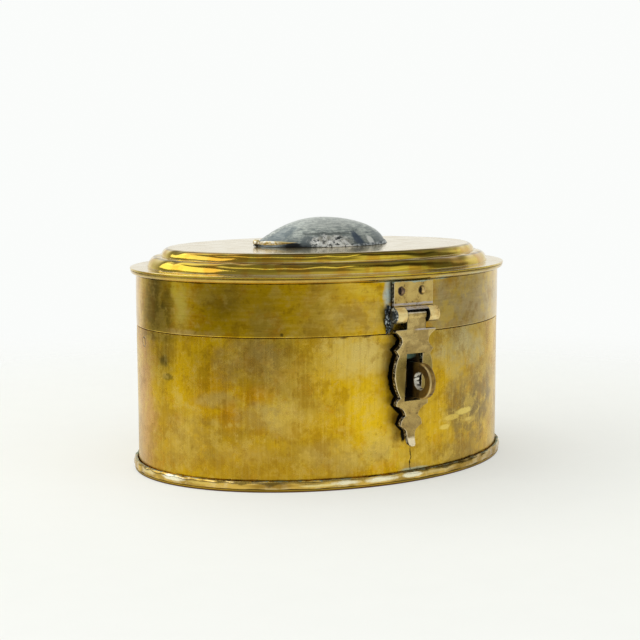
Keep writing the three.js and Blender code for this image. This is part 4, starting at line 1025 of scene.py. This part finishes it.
tongue = upright_bar(
    np.linspace(HASP_TOP - 2.5 * MM, HASP_PIN - 0.8 * MM, 12), -TONGUE_HALF, TONGUE_HALF,
    HASP_NEAR - 0.03 * MM, HASP_FAR, FILED_CORNER, 0, 0,
)
hasp_plate = metal(
    "hasp_plate_filed",
    hasp_bar(HASP_TIP, SLOT_LOW, low_round=FILED_END),
    hasp_bar(SLOT_LOW, SLOT_HIGH, right=-SLOT_HALF),
    hasp_bar(SLOT_LOW, SLOT_HIGH, left=SLOT_HALF),
    hasp_bar(SLOT_HIGH, HASP_TOP, high_round=FILED_END),
    tongue,
    ring=False,
)
tongue_roll = metal("hasp_tongue_roll", knuckle(-TONGUE_HALF, TONGUE_HALF, hasp_y, HASP_PIN, TONGUE_ROLL))
for piece in (hasp_plate, tongue_roll):
    material, shader, place, colour, pitted, mottle = worn_brass(
        piece.name + "_brass", rgb(196, 168, 98), rgb(170, 142, 80), rgb(100, 80, 42)
    )
    across, out, height_mm = axis_mm(place, 0), out_mm(place), axis_mm(place, 2)
    rubbed = tint(between(mottle, 0.42, 0.58), rgb(222, 194, 122), rgb(186, 158, 94))
    colour = tint(between(height_mm + (mottle - 0.5) * 3, 54, 61) * 0.8, colour, rubbed)
    file_lines = cloud(place, 700, 4, 0.6, (0.12, 1, 1))
    colour = tint(between(file_lines, 0.52, 0.62) * 0.3, colour, rgb(126, 102, 58))
    bare = None
    if piece is hasp_plate:
        curl_share = place.maths("MAXIMUM", CURL_START / MM - height_mm) / ((CURL_START - HASP_TIP) / MM)
        out = out - curl_share * curl_share * (CURL / MM)
        beside_slot = between(height_mm + (mottle - 0.5) * 3, 58, 54) * between(height_mm, 36, 40)
        colour = tint(beside_slot * 0.7, colour, rgb(150, 130, 58))
        colour = tint(between(height_mm + (mottle - 0.5) * 3, 32, 26) * 0.35, colour, rgb(138, 114, 68))
        # The curled tip is near white and less metallic: a painted highlight.
        tip_highlight = between(height_mm + (mottle - 0.5) * 2, 21.5, 20)
        colour = tint(tip_highlight, colour, rgb(255, 238, 196))
        bare = 0.65 - 0.5 * tip_highlight
        # The right part of the plate's top edge gets a lilac painted highlight.
        top_edge_highlight = band(height_mm, 66.7, 67.0, 67.45, 67.6) * between(across, -2, 2)
        colour = tint(top_edge_highlight * 0.8, colour, LILAC_HIGHLIGHT)
        colour = filed_sides(place, colour, out, (HASP_BACK + HASP_SHEET) / MM, pitted)
    else:
        ragged = height_mm + (mottle - 0.5) * 0.4
        # On the roll a cream line is a painted highlight, and its top under the bar and its back are
        # blackened as painted shade.
        colour = tint(between(ragged, 74.1, 74.4), colour, rgb(236, 222, 190))
        colour = tint(between(ragged, 74.6, 74.8), colour, SOOT_AND_SHADE)
        colour = tint(between(out, 4.6, 3.8), colour, SOOT_AND_SHADE)
    # Black along the tongue's sides: painted shadow in the gaps beside the knuckles.
    tongue_edge_shadows = between(abs(across), 4.7, 5.0) * between(height_mm, 67.2, 67.6)
    colour = tint(tongue_edge_shadows, colour, SOOT_AND_SHADE)
    roughness = 0.28 + 0.3 * pitted + 0.1 * (mottle - 0.5)
    lay(piece, material, shader, colour, roughness, mottle - pitted, PIT_DEPTH, bare)
    stands_for(piece, "hasp_plate", "hasp")

# Studio: a round sheet of white paper that fades into a white backdrop, a long soft lamp at the left and a
# broad one over the paper that the brass doesn't mirror. The pale room is dimmer on the camera's side than
# behind the box, with a few lit and dark patches for the brass to mirror.
PAPER_TURNS, PAPER_RINGS, PAPER_REACH = 96, 24, 1.6
paper_turn = np.linspace(0, 2 * np.pi, PAPER_TURNS, endpoint=False)[:, None]
paper_out = np.linspace(0.02, PAPER_REACH, PAPER_RINGS)[None, :]
paper_x, paper_y = paper_out * np.cos(paper_turn), paper_out * np.sin(paper_turn)
paper_grid = np.stack(np.broadcast_arrays(paper_x, paper_y, 0.0), -1)
index = np.arange(PAPER_TURNS * PAPER_RINGS).reshape(PAPER_TURNS, PAPER_RINGS)
after = np.roll(index, -1, 0)
paper_quads = np.stack([index[:, :-1], index[:, 1:], after[:, 1:], after[:, :-1]], -1).reshape(-1, 4).tolist()
paper_mesh = bpy.data.meshes.new("paper_floor")
paper_mesh.from_pydata(paper_grid.reshape(-1, 3).tolist(), [], paper_quads + [index[:, 0].tolist()])
paper_floor = bpy.data.objects.new("paper_floor", paper_mesh)
bpy.context.scene.collection.objects.link(paper_floor)
material, shader, place = finish(
    "white_paper", Specular_IOR_Level=0.1, Emission_Color=rgb(254, 255, 250), Emission_Strength=0.44
)
fibre = cloud(place, 60)
lay(paper_floor, material, shader, tint(fibre, rgb(188, 189, 184), rgb(192, 193, 188)), 0.85 + 0.05 * fibre)
fade = between(place.vector("LENGTH", (0, 0, 0), "Value"), 0.5, 0.17)
material.node_tree.links.new(fade.socket, shader.inputs["Alpha"])

world = bpy.data.worlds.new("studio_room")
bpy.context.scene.world = world
world.use_nodes = True
room = Wire(world.node_tree)
direction = room.node("ShaderNodeTexCoord", output="Generated")
behind = direction.vector("DOT_PRODUCT", (0.549, 0.836, 0), "Value")
rightward = direction.vector("DOT_PRODUCT", (0.836, -0.549, 0), "Value")
upward = direction.vector("DOT_PRODUCT", (0, 0, 1), "Value")
level = room.maths("ARCTAN2", rightward, behind) / (2 * np.pi) + 0.5
bearing = level - 0.12 * room.maths("MAXIMUM", upward)
walls = [
    (-180, 0.32), (-160, 0.28), (-144, 0.26), (-126, 0.30), (-116, 0.44), (-108, 0.54), (-101, 0.50),
    (-93, 0.32), (-84, 0.28), (-75, 0.24), (-63, 0.38), (-52, 0.58), (-45, 0.74), (-36, 0.92), (-28, 0.94),
    (0, 0.94), (34, 0.94), (42, 0.85), (52, 0.68), (64, 0.52), (78, 0.46), (92, 0.50), (112, 0.58),
    (132, 0.70), (145, 0.66), (156, 0.50), (168, 0.38), (180, 0.32),
]
stops = [(degrees / 360 + 0.5, (value, value, value, 1)) for degrees, value in walls]
wall_glow = room.node("ShaderNodeValToRGB", {"stops": stops}, {0: bearing})
overhead = between(upward, 0.3, 0.6)
window = band(upward, 0.88, 0.91, 0.94, 0.96) * between(behind, 0.2, 0.0)
dark_corner = band(level, 0.645, 0.68, 0.74, 0.77) * between(upward, 0.0, 0.12)
high_glow = band(level, 0.32, 0.35, 0.46, 0.5) * band(upward, 0.55, 0.65, 0.82, 0.9)
side_glow = band(level, 0.75, 0.78, 0.83, 0.87) * band(upward, 0.3, 0.4, 0.75, 0.85)
glow = (wall_glow * (1 - overhead) + 0.22 * overhead) * (1 - 0.75 * dark_corner)
glow = glow + 0.9 * window + 1.1 * high_glow + 0.45 * side_glow
seen = room.node("ShaderNodeLightPath", output="Is Camera Ray")
strength = seen * 0.975 + (1 - seen) * glow
background = world.node_tree.nodes["Background"]
background.inputs["Color"].default_value = (0.985, 1, 0.985, 1)
world.node_tree.links.new(strength.socket, background.inputs["Strength"])


def turned_to(ahead):
    """The rotation of a lamp or camera that looks along a direction, with its upper edge up."""
    return ahead.to_track_quat("-Z", "Y").to_euler()


def soft_lamp(name, place, target, width, height, energy):
    """An oblong lamp at a place, turned to a target. Its light falls off evenly from its whole face."""
    lamp = bpy.data.lights.new(name, "AREA")
    lamp.shape, lamp.size, lamp.size_y, lamp.energy = "RECTANGLE", width, height, energy
    stand = bpy.data.objects.new(name, lamp)
    stand.location = place
    stand.rotation_euler = turned_to(Vector(target) - Vector(place))
    bpy.context.scene.collection.objects.link(stand)
    return stand


soft_lamp("left_lamp", (-1.23, 0.58, 0.93), (0, 0, 0.08), width=2.5, height=1.05, energy=12)
paper_lamp = soft_lamp("paper_lamp", (-0.3, -0.2, 1.5), (0, 0, 0), width=3.4, height=3.4, energy=24)
paper_lamp.visible_glossy = False

# Camera: a little above the lid and to the front left, with a long lens, as the box was photographed.
# Its place and direction come from fitting the ovals of the base, the seam, the rim and the lid's steps.
CAMERA_PLACE, CAMERA_AHEAD = (-0.35299, -0.53550, 0.14298), Vector((0.54502, 0.82940, -0.12269))
camera_data = bpy.data.cameras.new("camera")
camera_data.sensor_width, camera_data.lens = 36, 77.44
camera = bpy.data.objects.new("camera", camera_data)
camera.location = CAMERA_PLACE
camera.rotation_euler = turned_to(CAMERA_AHEAD.normalized())
bpy.context.scene.collection.objects.link(camera)
bpy.context.scene.camera = camera
bpy.context.scene.view_settings.view_transform = "Standard"
